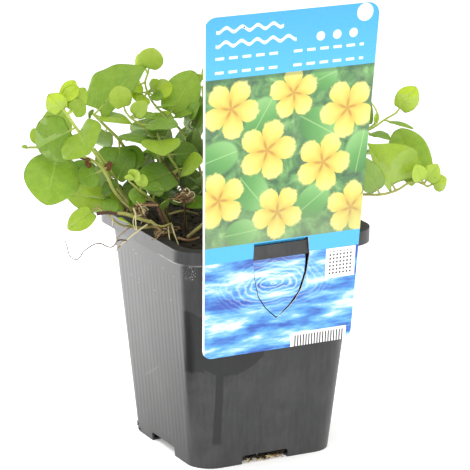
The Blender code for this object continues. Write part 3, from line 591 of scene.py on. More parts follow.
def plain_growth(name, low, high, roughness):
    """A root or a withered part, mottled between two colours."""
    shader = Shader(name, roughness)
    where = shader.place()
    grain = shader.noise(where, 1.8, 4.0, 0.65)
    shader.paint("Base Color", shader.ramp(grain, [(0.3, low), (0.7, high)]))
    shader.bump(grain, 0.12)
    return shader.material


def label_axes(shader):
    """The label's own coordinates in millimetres: across, up from its foot, out of its front."""
    coordinates = shader.add("TexCoord", None, None, 3)
    place = {"Vector": coordinates, "Location": Vector(LABEL_FOOT) * MM, "Scale": (MM, MM, MM),
             "Rotation": (math.pi / 2 + LABEL_LEAN, 0.0, 0.0)}
    return shader.add("Mapping", {"vector_type": "TEXTURE"}, place)


def printed_flower(shader, picture, across, up, ruffle, row):
    """One five-petalled yellow flower, painted over the picture."""
    centre_across, centre_up, radius, turn = row
    side = across - centre_across
    rise = up - centre_up
    reach = shader.math("SQRT", side * side + rise * rise)
    angle = shader.math("ARCTAN2", rise, side) + math.radians(turn)
    petal = shader.math("ABSOLUTE", shader.math("COSINE", angle * 2.5))
    edge = (petal ** 0.45) * (radius * 0.55) + radius * 0.45 + ruffle
    inside = (edge - reach).above(0.0, 1.3)
    folds = shader.math("SINE", angle * 5.0 + reach * 0.3) * 0.05
    tone = reach / radius + folds - (1 - petal) * 0.25
    yellow = shader.ramp(tone, [(0.0, srgb(186, 142, 60)), (0.14, srgb(208, 180, 76)), (0.5, srgb(218, 204, 98)),
                                (1.0, srgb(226, 218, 130))])
    return shader.mix(inside, picture, yellow)


def printed_leaf(shader, picture, across, up, row):
    """One oval leaf with a pale midrib, painted over the picture."""
    centre_across, centre_up, radius, turn = row
    cosine = math.cos(math.radians(turn))
    sine = math.sin(math.radians(turn))
    side = across - centre_across
    rise = up - centre_up
    long_way = side * (cosine / radius) + rise * (sine / radius)
    short_way = (rise * cosine - side * sine) / (radius * 0.78)
    inside = 1 - shader.math("SQRT", long_way * long_way + short_way * short_way).above(1.0, 0.22)
    tone = long_way * 0.3 + short_way * 0.2 + 0.5
    green = shader.ramp(tone, [(0.0, srgb(58, 112, 56)), (0.5, srgb(96, 156, 82)), (1.0, srgb(150, 198, 126))])
    vein = 1 - shader.math("ABSOLUTE", short_way).above(0.03, 0.04)
    return shader.mix(inside, picture, shader.mix(vein * 0.5, green, srgb(176, 214, 140)))


def printed_picture(shader, where, across, up, soft):
    """Yellow flowers over leaves on a blurred green ground, hazy at its foot."""
    leafy = shader.noise(where, 0.16, 4.0, 0.6, 0.6)
    ruffle = (shader.noise(where, 0.45, 3.0, 0.6) - 0.5) * 3.0
    picture = shader.ramp(leafy, [(0.3, srgb(50, 84, 56)), (0.45, srgb(76, 120, 72)), (0.6, srgb(106, 154, 90)),
                                  (0.75, srgb(150, 192, 124))])
    picture = shader.mix(soft.above(0.56, 0.2) * 0.5, picture, srgb(86, 104, 86))
    for row in PRINTED_LEAVES:
        picture = printed_leaf(shader, picture, across, up, row)
    for row in PRINTED_FLOWERS:
        picture = printed_flower(shader, picture, across, up, ruffle, row)
    haze = (1 - (up + soft * 24.0).above(70.0, 26.0)) * 0.3
    return shader.mix(haze, picture, srgb(158, 172, 134))


def printed_water(shader, where, across, up, soft):
    """Streaky blue water with white glints and rings that fade outwards."""
    side = across - RIPPLE_CENTRE[0]
    rise = (up - RIPPLE_CENTRE[1]) * 2.3
    spread = shader.math("SQRT", side * side + rise * rise) + (soft - 0.5) * 16.0
    fading = 1 - spread.above(20.0, 30.0)
    rings = (shader.math("SINE", spread * 2.0) * 0.5 + 0.5) ** 3.0
    streaks = shader.noise(shader.add("Mapping", None, {"Vector": where, "Scale": (0.045, 0.2, 1.0)}), 1.0, 4.0, 0.55)
    water = shader.ramp(streaks, [(0.38, srgb(40, 82, 172)), (0.48, srgb(74, 148, 214)), (0.56, srgb(122, 186, 228)),
                                  (0.66, srgb(228, 238, 244))])
    return shader.mix(rings * fading * (streaks * 1.6) * 0.85, water, srgb(210, 230, 248))


def label_finish():
    """The label's printed front: blue header, flowers on green, a blue band, rippled water and white panels."""
    shader = Shader("label_print", 0.28, Coat_Weight=0.3, Coat_Roughness=0.1)
    where = label_axes(shader)
    across, up, _ = shader.axes(where)
    soft = shader.noise(where, 0.07, 3.0, 0.55)
    picture = printed_picture(shader, where, across, up, soft)
    water = printed_water(shader, where, across, up, soft)
    header = shader.ramp(up / 200.0, [(0.6, srgb(72, 172, 222)), (0.72, srgb(54, 158, 216))])

    front = shader.mix(up.above(WATER_TOP, 0.2), water, srgb(72, 174, 224))
    front = shader.mix(up.above(BAND_TOP, 0.2), front, picture)
    front = shader.mix(up.above(SHADE_FOOT, 1.2) * 0.45, front, srgb(28, 76, 62))
    front = shader.mix(up.above(PICTURE_TOP, 0.2), front, header)
    front = shader.mix(header_marks(shader, across, up), front, srgb(232, 246, 255))
    front = shader.mix(foot_panels(shader, across, up), front, srgb(250, 250, 250))
    front = shader.mix(foot_pattern(shader, across, up), front, srgb(52, 50, 52))
    half = up * ((LABEL_TOP - LABEL_BOTTOM) / 2 / LABEL_HEIGHT) + LABEL_BOTTOM / 2
    border = (half + across).above(0.7, 0.15)
    front = shader.mix(border, srgb(246, 248, 250), front)
    dirt = shader.spots(where, 0.09, 0.035, 0.02, 0.1)
    front = shader.mix(dirt, front, srgb(34, 30, 26))
    shader.paint("Base Color", front)
    shader.paint("Roughness", soft * 0.12 + 0.22)
    shader.bump(shader.noise(where, 0.03, 2.0), 0.5)
    return shader.material


def disc(shader, across, up, centre_across, centre_up, radius):
    """A round printed spot."""
    side = across - centre_across
    rise = up - centre_up
    return 1 - shader.math("SQRT", side * side + rise * rise).above(radius, 0.25)


def header_marks(shader, across, up):
    """White marks on the header: a spot in its corner, two wavy lines, three dots and four rows of dashes."""
    wave = shader.math("SINE", across * 0.9) * 0.9
    marks = disc(shader, across, up, 32.9, 140.7, 3.7)
    for level, start, end in ((139.0, -34.0, -4.0), (133.2, -34.0, 2.0)):
        line = (up + wave).within(level - 0.7, level + 0.7, 0.3) * across.within(start, end, 0.4)
        marks = shader.most(marks, line)
    for level in (127.4, 121.6):
        for start, end in ((-35.0, -6.0), (0.0, 33.0)):
            dash = shader.math("PINGPONG", across - start, 3.0).above(1.1, 0.3)
            row = up.within(level - 0.55, level + 0.55, 0.3) * across.within(start, end, 0.4) * dash
            marks = shader.most(marks, row)
    for column in (13.0, 20.5, 28.0):
        marks = shader.most(marks, disc(shader, across, up, column, 132.6, 1.9))
    return marks


def foot_panels(shader, across, up):
    """The white square and the white strip near the label's foot."""
    square = across.within(20.7, 34.5, 0.2) * up.within(28.0, 41.0, 0.2)
    strip = across.within(6.0, 32.0, 0.2) * up.within(-1.0, 6.0, 0.2)
    return shader.most(square, strip)


def foot_pattern(shader, across, up):
    """An even grid of dots on the square, and evenly spaced bars on the strip."""
    pitch = 1.6
    column = shader.math("PINGPONG", across - 22.0, pitch / 2)
    row = shader.math("PINGPONG", up - 29.3, pitch / 2)
    dots = column.above(0.38, 0.15) * row.above(0.38, 0.15)
    dots = dots * across.within(22.0, 33.2, 0.1) * up.within(29.3, 39.7, 0.1)
    bars = shader.math("PINGPONG", across - 7.5, 0.65).above(0.33, 0.12)
    bars = bars * across.within(7.5, 30.6, 0.1) * up.within(-1.0, 4.8, 0.2)
    return shader.most(dots, bars)


def card_finish():
    """The label's unprinted back and edges."""
    shader = Shader("label_back", 0.4)
    where = shader.place()
    clouds = shader.noise(where, 0.06, 3.0)
    card = shader.ramp(clouds, [(0.35, srgb(226, 230, 232)), (0.7, srgb(242, 244, 245))])
    stains = shader.spots(where, 0.09, 0.05, 0.04, 0.2)
    shader.paint("Base Color", shader.mix(stains * 0.8, card, srgb(84, 70, 54)))
    shader.bump(shader.noise(where, 0.9, 3.0), 0.02)
    return shader.material


def new_piece(name, bm, *finishes):
    """An object from a bmesh in millimetres, with its finishes."""
    bm.transform(Matrix.Scale(MM, 4))
    mesh = bpy.data.meshes.new(name)
    bm.to_mesh(mesh)
    bm.free()
    piece = bpy.data.objects.new(name, mesh)
    bpy.context.scene.collection.objects.link(piece)
    for finish in finishes:
        mesh.materials.append(finish)
    return piece


def settle(piece, cutters=()):
    """Bakes a piece's modifiers into its mesh and puts its place there too."""
    graph = bpy.context.evaluated_depsgraph_get()
    mesh = bpy.data.meshes.new_from_object(piece.evaluated_get(graph))
    mesh.transform(piece.matrix_world)
    piece.modifiers.clear()
    piece.data = mesh
    piece.matrix_world = Matrix.Identity(4)
    for cutter in cutters:
        bpy.data.objects.remove(cutter)


def combine(piece, other, operation):
    """Adds an exact Boolean of another piece."""
    step = piece.modifiers.new(other.name, "BOOLEAN")
    step.operation = operation
    step.solver = "EXACT"
    step.object = other


def add_thickness(piece, thickness, offset=0.0):
    """Gives a sheet its thickness, half to each side, or all behind it where offset is -1."""
    wall = piece.modifiers.new("wall", "SOLIDIFY")
    wall.thickness = thickness * MM
    wall.offset = offset
    wall.use_even_offset = True


def smooth(piece, angle=35.0):
    """Smooth shading with sharp edges past an angle."""
    mesh = piece.data
    mesh.shade_smooth()
    mesh.set_sharp_from_angle(angle=math.radians(angle))


def wall_half(z):
    """Half the pot's outer width at height z."""
    top = RIM_WIDTH / 2 - LIP_REACH
    return BASE_WIDTH / 2 + (top - BASE_WIDTH / 2) * z / (POT_HEIGHT - POT_WALL)


def tapered_block(low, low_half, high, high_half, radius):
    """A square block with rounded upright corners, narrower at its foot."""
    bm = bmesh.new()
    bmesh.ops.create_cube(bm, size=2.0)
    for vert in bm.verts:
        half, z = (high_half, high) if vert.co.z > 0 else (low_half, low)
        vert.co = Vector((vert.co.x * half, vert.co.y * half, z))
    uprights = [edge for edge in bm.edges if abs(edge.verts[0].co.z - edge.verts[1].co.z) > 1.0]
    bmesh.ops.bevel(bm, geom=uprights, offset=radius, offset_type="OFFSET", affect="EDGES",
                    segments=CORNER_STEPS, profile=0.5, material=-1)
    return bm


def flat_face(bm, direction):
    """The face that looks straight up (1) or down (-1)."""
    return next(face for face in bm.faces if face.normal.z * direction > 0.99)


def new_verts(grown):
    """The vertices among what an operator made."""
    return [item for item in grown["geom"] if isinstance(item, bmesh.types.BMVert)]


def soil_inside(pot):
    """Gives the pot's inner wall and the top of its lip the second finish."""
    inner_half = (wall_half(POT_HEIGHT) - POT_WALL / 2) * MM
    for face in pot.data.polygons:
        place = face.center
        inwards = face.normal.x * place.x + face.normal.y * place.y < -0.3 * place.xy.length
        inside = max(abs(place.x), abs(place.y)) < inner_half and place.z > FLOOR_RAISE * MM
        on_lip = face.normal.z > 0.9 and place.z > (POT_HEIGHT - 0.5) * MM
        face.material_index = 1 if inwards and inside or on_lip else 0


def pot_skin():
    """The pot's outer surface: raised floor, tapering walls, and a lip that turns out and down."""
    rim_half = RIM_WIDTH / 2 - POT_WALL
    skin_top = POT_HEIGHT - POT_WALL
    bm = tapered_block(0, BASE_WIDTH / 2, skin_top, wall_half(skin_top), CORNER_RADIUS)
    bm.faces.remove(flat_face(bm, 1))
    floor = flat_face(bm, -1)
    bmesh.ops.inset_region(bm, faces=[floor], thickness=FOOT_WIDTH, use_even_offset=True)
    inner = bmesh.ops.extrude_face_region(bm, geom=[floor])
    bm.faces.remove(floor)
    bmesh.ops.translate(bm, vec=(0, 0, FLOOR_RAISE), verts=new_verts(inner))
    mouth = [edge for edge in bm.edges if edge.is_boundary]
    for scale, drop in ((rim_half / wall_half(skin_top), 0), (1.0, POT_WALL - LIP_BAND)):
        grown = bmesh.ops.extrude_edge_only(bm, edges=mouth)
        mouth = [item for item in grown["geom"] if isinstance(item, bmesh.types.BMEdge)]
        bmesh.ops.scale(bm, vec=(scale, scale, 1.0), verts=new_verts(grown))
        bmesh.ops.translate(bm, vec=(0, 0, drop), verts=new_verts(grown))
    return bm


def make_pot(finish, inner_finish):
    """The pot's skin, given a wall, drain arches, a slit for the label's tongue and rounded edges."""
    pot = new_piece("nursery_pot", pot_skin(), finish, inner_finish)
    add_thickness(pot, POT_WALL, -1.0)
    cutters = [make_arch(side) for side in range(4)] + [make_label_slot()]
    for cutter in cutters:
        combine(pot, cutter, "DIFFERENCE")
    bpy.context.view_layer.update()
    settle(pot, cutters)
    soil_inside(pot)
    rounding = pot.modifiers.new("rounding", "BEVEL")
    rounding.width = LIP_ROUNDING * MM
    rounding.segments = 3
    rounding.limit_method = "ANGLE"
    rounding.angle_limit = math.radians(40)
    smooth(pot)
    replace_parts(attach(pot, "root"), "pot")


def make_arch(side):
    """A cutter for the drain opening at the middle of one side."""
    below = 2.0
    outside = 4.0
    shift = FRONT_ARCH_SHIFT if side == 0 else 0.0
    bm = bmesh.new()
    bmesh.ops.create_cube(bm, size=1.0)
    bmesh.ops.scale(bm, vec=(ARCH_WIDTH, ARCH_DEPTH + outside, ARCH_HEIGHT + below), verts=bm.verts)
    middle = (shift, -BASE_WIDTH / 2 + (ARCH_DEPTH - outside) / 2, (ARCH_HEIGHT - below) / 2)
    bmesh.ops.translate(bm, vec=middle, verts=bm.verts)
    crown = [edge for edge in bm.edges
             if all(vert.co.z > 0 for vert in edge.verts) and edge.verts[0].co.x == edge.verts[1].co.x]
    bmesh.ops.bevel(bm, geom=crown, offset=ARCH_RADIUS, affect="EDGES", segments=4, profile=0.5, material=-1)
    arch = new_piece(f"arch_{side}", bm)
    arch.rotation_euler.z = side * math.pi / 2
    return arch


def make_label_slot():
    """A cutter for the slit in the lip that takes the label's tongue."""
    clear = 0.1
    outer = RIM_WIDTH / 2 - POT_WALL - clear
    inner = RIM_WIDTH / 2 - LIP_REACH + clear
    bm = bmesh.new()
    bmesh.ops.create_cube(bm, size=1.0)
    bmesh.ops.scale(bm, vec=(SLOT_WIDTH, outer - inner, 3.0), verts=bm.verts)
    centre = (LABEL_FOOT[0] + TONGUE_CENTRE, -(outer + inner) / 2, POT_HEIGHT - POT_WALL / 2)
    bmesh.ops.translate(bm, vec=centre, verts=bm.verts)
    return new_piece("slit", bm)


def add_crumb(bm, place, size):
    """One rough lump of peat."""
    crumb = bmesh.ops.create_icosphere(bm, subdivisions=1, radius=size)["verts"]
    for vert in crumb:
        vert.co *= random.uniform(0.6, 1.2)
        vert.co.z *= 0.8
    bmesh.ops.translate(bm, vec=place, verts=crumb)


def peat_height(across, depth, spread):
    """How high the peat lies at a place, where spread is 0 in the pot's middle and 1 at its wall."""
    heap = min(1.0, max(0.0, (depth - across) / 2 - HEAP_START) / HEAP_SLOPE)
    return SOIL_EDGE_HEIGHT + SOIL_MOUND * (1.0 - spread) + CORNER_HEAP * heap


def on_peat_top(vert):
    """Whether a vertex of the plug belongs to its top."""
    return vert.co.z > SOIL_EDGE_HEIGHT - 1


def scatter_crumbs(bm, reach):
    """Loose crumbs on the peat's top."""
    for _ in range(TOP_CRUMBS):
        side = random.uniform(-0.95, 0.95) * reach
        depth = random.uniform(-0.95, 0.95) * reach
        spread = max(abs(side), abs(depth)) / reach
        height = peat_height(side, depth, spread) + random.uniform(0.0, 0.8)
        add_crumb(bm, (side, depth, height), random.uniform(0.3, 1.1))


def slot_place(low, high):
    """Somewhere across the front drain slot, between two shares of its width from its middle."""
    return FRONT_ARCH_SHIFT + random.uniform(low, high) * ARCH_WIDTH


def fill_slot(bm):
    """Crumbs in the front drain slot, with straws low down in front of them. Returns the straws' tubes."""
    for _ in range(SLOT_CRUMBS):
        side = slot_place(-0.48, 0.48)
        add_crumb(bm, (side, random.uniform(-31.8, -28.0), random.uniform(1.0, 2.6)), random.uniform(0.5, 0.9))
    straws = []
    for _ in range(SLOT_STRAWS):
        side = slot_place(-0.40, 0.28)
        drift = random.uniform(-5.0, 5.0)
        points = [Vector((side, -31.0, random.uniform(0.8, 1.5))),
                  Vector((side + drift * 0.4, -32.2, random.uniform(0.5, 1.8))),
                  Vector((side + drift, random.uniform(-33.2, -32.2), random.uniform(0.3, 1.2)))]
        finish = random.choice((BROWN_STRAW, BROWN_STRAW, PALE_STRAW))
        straws.append((finish, (0.22, 0.18, 0.12), points))
    return straws


def dirty_corner(bm):
    """Crumbs stuck to the pot's foot round its back left corner."""
    middle = BASE_WIDTH / 2 - CORNER_RADIUS
    for _ in range(CORNER_CRUMBS):
        angle = math.radians(random.uniform(140.0, 178.0))
        height = random.uniform(0.4, 3.6)
        off = CORNER_RADIUS + height * 0.09 + 0.15
        foot = (off * math.cos(angle) - middle, off * math.sin(angle) + middle, height)
        add_crumb(bm, foot, random.uniform(0.3, 0.6))


def peat_plug(reach, inset):
    """The plug of peat. Its lumpy top reaches that far from the middle, and is heaped in the back left corner."""
    bm = tapered_block(SOIL_LOW, wall_half(SOIL_LOW) - inset, SOIL_EDGE_HEIGHT, reach, CORNER_RADIUS - inset)
    top = flat_face(bm, 1)
    bmesh.ops.inset_region(bm, faces=[top], thickness=2.0, use_even_offset=True)
    bmesh.ops.triangulate(bm, faces=[top])
    for _ in range(6):
        long_edges = [edge for edge in bm.edges
                      if edge.calc_length() > TOP_GRAIN and all(on_peat_top(vert) for vert in edge.verts)]
        if not long_edges:
            break
        bmesh.ops.subdivide_edges(bm, edges=long_edges, cuts=1)
        bmesh.ops.triangulate(bm, faces=[face for face in bm.faces if len(face.verts) > 4])
    for vert in bm.verts:
        if on_peat_top(vert):
            spread = min(1.0, max(abs(vert.co.x), abs(vert.co.y)) / reach)
            lumps = noise.fractal(vert.co * 0.16, 0.8, 2.0, 5) * 1.6 + noise.noise(vert.co * 0.9) * 0.45
            raised = peat_height(vert.co.x, vert.co.y, spread) - SOIL_EDGE_HEIGHT
            vert.co.z += raised + lumps * min(1.0, (1.0 - spread) * 6)
    return bm


def make_peat(*finishes):
    """The plug with loose crumbs on top, straws and crumbs in the front drain slot, and a dirty back left corner."""
    inset = POT_WALL + 0.3
    reach = wall_half(SOIL_EDGE_HEIGHT) - inset
    bm = peat_plug(reach, inset)
    scatter_crumbs(bm, reach)
    straws = fill_slot(bm)
    dirty_corner(bm)
    add_tubes(bm, straws)
    bmesh.ops.recalc_face_normals(bm, faces=bm.faces)
    peat = new_piece("peat_fill", bm, *finishes)
    smooth(peat, 60.0)
    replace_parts(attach(peat, "root"), "soil")


def label_place():
    """Turns the label's own axes (across, up, out of its front) to its leaning place on the pot."""
    lean = Matrix.Rotation(math.pi / 2 + LABEL_LEAN, 4, "X")
    return Matrix.Translation(Vector(LABEL_FOOT) * MM) @ lean


def label_card(front, back):
    """The uncut card, wider at its top, with rounded corners."""
    bm = bmesh.new()
    bmesh.ops.create_grid(bm, x_segments=1, y_segments=1, size=0.5)
    for vert in bm.verts:
        width = LABEL_TOP if vert.co.y > 0 else LABEL_BOTTOM
        vert.co = Vector((vert.co.x * width, (vert.co.y + 0.5) * LABEL_HEIGHT, 0))
    upper = [vert for vert in bm.verts if vert.co.y > LABEL_HEIGHT / 2]
    lower = [vert for vert in bm.verts if vert.co.y < LABEL_HEIGHT / 2]
    for corners, offset in ((upper, LABEL_UPPER_CORNER), (lower, LABEL_CORNER)):
        bmesh.ops.bevel(bm, geom=corners, offset=offset, affect="VERTICES", segments=8, profile=0.5, material=-1)
    card = new_piece("picture_label", bm, front, back)
    add_thickness(card, LABEL_THICKNESS)
    return card


def tongue_window():
    """A cutter for the hole that the tongue leaves in the card."""
    bm = bmesh.new()
    outline = bm.faces.new([bm.verts.new((x, y, -2.0)) for x, y in TONGUE_CUT])
    outline.normal_update()
    grown = bmesh.ops.extrude_face_region(bm, geom=[outline])
    bmesh.ops.translate(bm, vec=(0, 0, 4.0), verts=new_verts(grown))
    bmesh.ops.recalc_face_normals(bm, faces=bm.faces)
    return new_piece("tongue_cut", bm)


def label_tongue():
    """The tongue, pushed back over the pot's band."""
    bm = bmesh.new()
    bmesh.ops.create_grid(bm, x_segments=2, y_segments=len(TONGUE_ROWS) - 1, size=1.0)
    for vert in bm.verts:
        up, left, right, behind = TONGUE_ROWS[round((1.0 - vert.co.y) / 2 * (len(TONGUE_ROWS) - 1))]
        vert.co = Vector((left + (vert.co.x + 1.0) / 2 * (right - left), up, -behind))
    tongue = new_piece("tongue", bm)
    add_thickness(tongue, TONGUE_THICKNESS)
    return tongue


def make_label(front, back):
    """A plastic card with a tongue cut free in it and hooked over the pot's lip."""
    label = label_card(front, back)
    window = tongue_window()
    tongue = label_tongue()
    for piece in (label, window, tongue):
        piece.matrix_world = label_place()
    combine(label, window, "DIFFERENCE")
    combine(label, tongue, "UNION")
    bpy.context.view_layer.update()
    settle(label, (window, tongue))
    out = label_place().to_3x3() @ Vector((0, 0, 1))
    for face in label.data.polygons:
        face.material_index = 0 if face.normal.dot(out) > 0.3 else 1
    smooth(label, 30.0)
    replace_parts(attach(label, "root"), "label")


def plant_point(across, forward, up):
    """A point or a direction of the shoots' frame in the pot's."""
    return Matrix.Rotation(-PLANT_TURN, 3, "Z") @ Vector((across, -forward, up))


def blade_point(side, along, length, width, outline):
    """Bends a square grid's point, each way -1 to 1, to a blade, broad at its heart-shaped base, tip at +Y."""
    taper, point, notch, lean = outline
    half = width / 2 * (1 + lean if side > 0 else 1 - lean)
    x = side * math.sqrt(1 - along * along / 2)
    y = along * math.sqrt(1 - side * side / 2)
    lobe = notch * max(0.0, -y) ** 3 * min(1.0, 4 * x * x)
    narrowing = (1 - taper * y - taper * y ** 3) * (1 - point * max(0.0, y) ** 2)
    return x * narrowing * half, length * ((y + 1) / 2 - lobe)


def add_blade(bm, shoot, row, steps):
    """One leaf blade in bm. Returns its stalk's centre line, from inside the stem to under the blade."""
    index, tip, width, facing, age_and_shade, cup, *outline = row
    root = plant_point(*shoot.points[index])
    tip = plant_point(*tip)
    along = (tip - root).normalized()
    base = root + along * min(PETIOLE, (tip - root).length * 0.3)
    length = (tip - base).length
    across = along.cross(plant_point(*facing)).normalized()
    out = across.cross(along)
    turn = Matrix((across, along, out)).transposed()

    taper, point, notch, lean = outline[0] if outline else ROUND
    outline = (taper * random.uniform(0.5, 1.2), point + random.uniform(0.0, 0.25), notch * random.uniform(0.7, 1.3),
               lean)
    arch = random.uniform(0.05, 0.11) * length
    wave = random.uniform(0.01, 0.035) * width
    beat = random.uniform(1.2, 2.2)
    start = random.uniform(0.0, 1.0)
    lift = random.uniform(-0.03, 0.03) * width
    dry = max(0.0, age_and_shade - 1.0)
    crumple = dry * 0.3 * width

    def bend(x, y):
        side = x / (width / 2)
        run = y / length
        height = arch * (1 - (2 * run - 1) ** 2) + cup * width / 2 * side * side
        height += wave * side * side * math.sin(2 * math.pi * (beat * run + start + 0.25 * (side > 0)))
        height += lift * abs(side) - 0.02 * width * math.exp(-(side / 0.12) ** 2)
        height += crumple * noise.noise(Vector((x * 0.5, y * 0.5, start * 9)))
        return height

    growth = bm.verts.layers.float_color["growth"]
    blade = bm.loops.layers.uv["blade"]
    verts = bmesh.ops.create_grid(bm, x_segments=steps, y_segments=steps, size=1.0)["verts"]
    faces = list({face for vert in verts for face in vert.link_faces})
    spot = {}
    for vert in verts:
        x, y = blade_point(vert.co.x, vert.co.y, length, width, outline)
        spot[vert] = (x / width + 0.5, y / length)
        vert.co = base + turn @ Vector((x, y, bend(x, y)))
        vert[growth] = (age_and_shade, dry, 0.0, 1.0)
    for face in faces:
        face.smooth = True
        face.material_index = LEAF
        for loop in face.loops:
            loop[blade].uv = spot[loop.vert]
    shell = bmesh.ops.solidify(bm, geom=faces, thickness=LEAF_THICKNESS)
    for vert in new_verts(shell):
        vert[growth] = (age_and_shade, dry, 1.0, 1.0)
    middle = root.lerp(base, 0.5) - out * 0.15
    under = [base + turn @ Vector((0, length * run, bend(0, length * run) - LEAF_THICKNESS)) for run in (0.08, 0.3)]
    return [root, middle, *under]


def add_tubes(bm, tubes):
    """Smooth round tubes, each as (finish, radii, points), with closed ends."""
    curve = bpy.data.curves.new("tubes", "CURVE")
    curve.dimensions = "3D"
    curve.bevel_depth = 1.0
    curve.bevel_resolution = 3
    curve.resolution_u = 5
    curve.use_fill_caps = True
    for _ in range(DRY + 1):
        curve.materials.append(None)
    for finish, radii, points in tubes:
        spline = curve.splines.new("BEZIER")
        spline.bezier_points.add(len(points) - 1)
        spline.material_index = finish
        for knot, radius, point in zip(spline.bezier_points, radii, points):
            knot.co = point
            knot.radius = radius
            knot.handle_left_type = "AUTO"
            knot.handle_right_type = "AUTO"
    guide = bpy.data.objects.new("tubes", curve)
    bpy.context.scene.collection.objects.link(guide)
    bpy.context.view_layer.update()
    mesh = bpy.data.meshes.new_from_object(guide.evaluated_get(bpy.context.evaluated_depsgraph_get()))
    bm.from_mesh(mesh)
    bpy.data.objects.remove(guide)
    bpy.data.meshes.remove(mesh)


def new_growth():
    """An empty bmesh with the attribute and the UV map that the leaves' finish reads."""
    bm = bmesh.new()
    bm.verts.layers.float_color.new("growth")
    bm.loops.layers.uv.new("blade")
    return bm


def stalk_tube(line):
    """A leaf's stalk, thinning out under its blade."""
    return STEM, (0.5, 0.42, 0.4, 0.12), line


def root_knot(middle, size, count):
    """Short curled roots tangled round a middle point."""
    chance = random.Random(count)
    tubes = []
    for _ in range(count):
        points = []
        for _ in range(3):
            offset = Vector([chance.gauss(0.0, 0.42) * reach for reach in size])
            points.append(plant_point(*(middle + offset)))
        tubes.append((chance.choice((ROOT, ROOT, DRY, PALE_ROOT)), (0.24, 0.2, 0.12), points))
    return tubes


def make_shoot(number, shoot, finishes):
    """A stem with its small leaves and fibres as one piece, and each large leaf as a piece of its own."""
    bm = new_growth()
    count = len(shoot.points)
    radii = [shoot.radius * (1.0 - 0.35 * index / (count - 1)) for index in range(count)]
    tubes = [(STEM, radii, [plant_point(*point) for point in shoot.points])]
    for row in shoot.small + shoot.more:
        tubes.append(stalk_tube(add_blade(bm, shoot, row, 10)))
    for owner, finish, thick, thin, points in FIBRES:
        if owner == number:
            steps = [thick + (thin - thick) * index / (len(points) - 1) for index in range(len(points))]
            tubes.append((finish, steps, [plant_point(*point) for point in points]))
    for owner, middle, size, number_of_roots in ROOT_KNOTS:
        if owner == number:
            tubes += root_knot(Vector(middle), size, number_of_roots)
    add_tubes(bm, tubes)
    stem = new_piece(f"shoot_{number:02d}", bm, *finishes)
    stem.data.shade_smooth()
    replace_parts(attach(stem, "root"), f"stem_{number:02d}")
    for letter, row in zip("abcdef", shoot.leaves):
        bm = new_growth()
        add_tubes(bm, [stalk_tube(add_blade(bm, shoot, row, 18))])
        leaf = new_piece(f"shoot_{number:02d}_leaf_{letter}", bm, *finishes)
        leaf.data.shade_smooth()
        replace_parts(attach(leaf, "root"), f"leaf_{number:02d}{letter}")


def make_floor():
    """A white floor that glows a little."""
    bm = bmesh.new()
    bmesh.ops.create_grid(bm, x_segments=1, y_segments=1, size=FLOOR_REACH / MM)
    shader = Shader("floor", 0.9, Base_Color=srgb(246, 246, 245), Emission_Color=srgb(255, 255, 255),
                    Emission_Strength=0.25)
    new_piece("floor", bm, shader.material)


def hang_lamp(name, lamp, place, aim):
    """Puts a lamp in its place, out of the camera's sight, and aims it."""
    made = bpy.data.objects.new(name, lamp)
    made.location = place
    made.rotation_euler = (Vector(aim) - Vector(place)).to_track_quat("-Z", "Y").to_euler()
    made.visible_camera = False
    bpy.context.scene.collection.objects.link(made)


def make_light(name, place, size, power):
    """A white panel that shines at the plant."""
    lamp = bpy.data.lights.new(name, "AREA")
    lamp.shape = "RECTANGLE"
    lamp.size, lamp.size_y = size
    lamp.energy = power
    hang_lamp(name, lamp, place, LIGHT_AIM)


def make_floor_spot():
    """A spot on the floor behind the pot's left side, which that side mirrors."""
    lamp = bpy.data.lights.new("floor_spot", "SPOT")
    lamp.energy = 58.0
    lamp.spot_size = math.radians(39)
    lamp.spot_blend = 0.6
    lamp.shadow_soft_size = 0.1
    hang_lamp("floor_spot", lamp, SPOT_PLACE, SPOT_AIM)


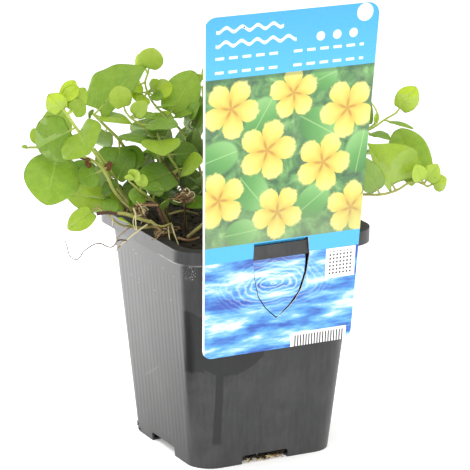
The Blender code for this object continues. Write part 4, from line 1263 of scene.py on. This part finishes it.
def make_dark_card():
    """A dark strip of card on the floor to the left, which only the pot's front left corner mirrors."""
    bm = bmesh.new()
    bmesh.ops.create_grid(bm, x_segments=1, y_segments=1, size=1.0 / MM)
    bmesh.ops.scale(bm, vec=(*CARD_REACH, 1.0), verts=bm.verts)
    card = new_piece("dark_card", bm, Shader("dark_card", 0.9, Base_Color=srgb(110, 110, 110)).material)
    card.location = CARD_PLACE
    card.rotation_euler.z = CARD_TURN
    card.visible_camera = False
    card.visible_diffuse = False
    card.visible_shadow = False


def make_camera():
    """The camera at the photograph's place: 27 degrees round to the left of the label, 16 degrees up."""
    turn = Matrix((CAMERA_RIGHT, CAMERA_UP, CAMERA_BACK)).transposed()
    camera = bpy.data.objects.new("camera", bpy.data.cameras.new("camera"))
    camera.matrix_world = Matrix.Translation(CAMERA_PLACE) @ turn.to_4x4()
    camera.data.lens = CAMERA_LENS
    camera.data.sensor_width = 36.0
    camera.data.clip_start = 0.05
    bpy.context.scene.collection.objects.link(camera)
    bpy.context.scene.camera = camera


def make_stage():
    """The white studio that the photograph was taken in."""
    make_floor()
    world = bpy.data.worlds.new("studio")
    world.use_nodes = True
    world.node_tree.nodes["Background"].inputs["Color"].default_value = (1.0, 1.0, 1.0, 1.0)
    world.node_tree.nodes["Background"].inputs["Strength"].default_value = 1.0
    bpy.context.scene.world = world
    bpy.context.scene.view_settings.view_transform = "Standard"
    for light in LIGHTS:
        make_light(*light)
    make_floor_spot()
    make_dark_card()
    make_camera()


def main():
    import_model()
    growth = (stem_finish(), leaf_finish(),
              plain_growth("root", srgb(104, 76, 44), srgb(158, 124, 80), 0.6),
              plain_growth("young_root", srgb(176, 164, 110), srgb(214, 206, 158), 0.5),
              plain_growth("withered", srgb(46, 28, 18), srgb(92, 58, 36), 0.75))
    make_pot(pot_finish(), soiled_finish())
    make_peat(peat_finish(), growth[ROOT], growth[PALE_ROOT])
    make_label(label_finish(), card_finish())
    for number, shoot in enumerate(SHOOTS, 1):
        make_shoot(number, shoot, growth)
    make_stage()


main()
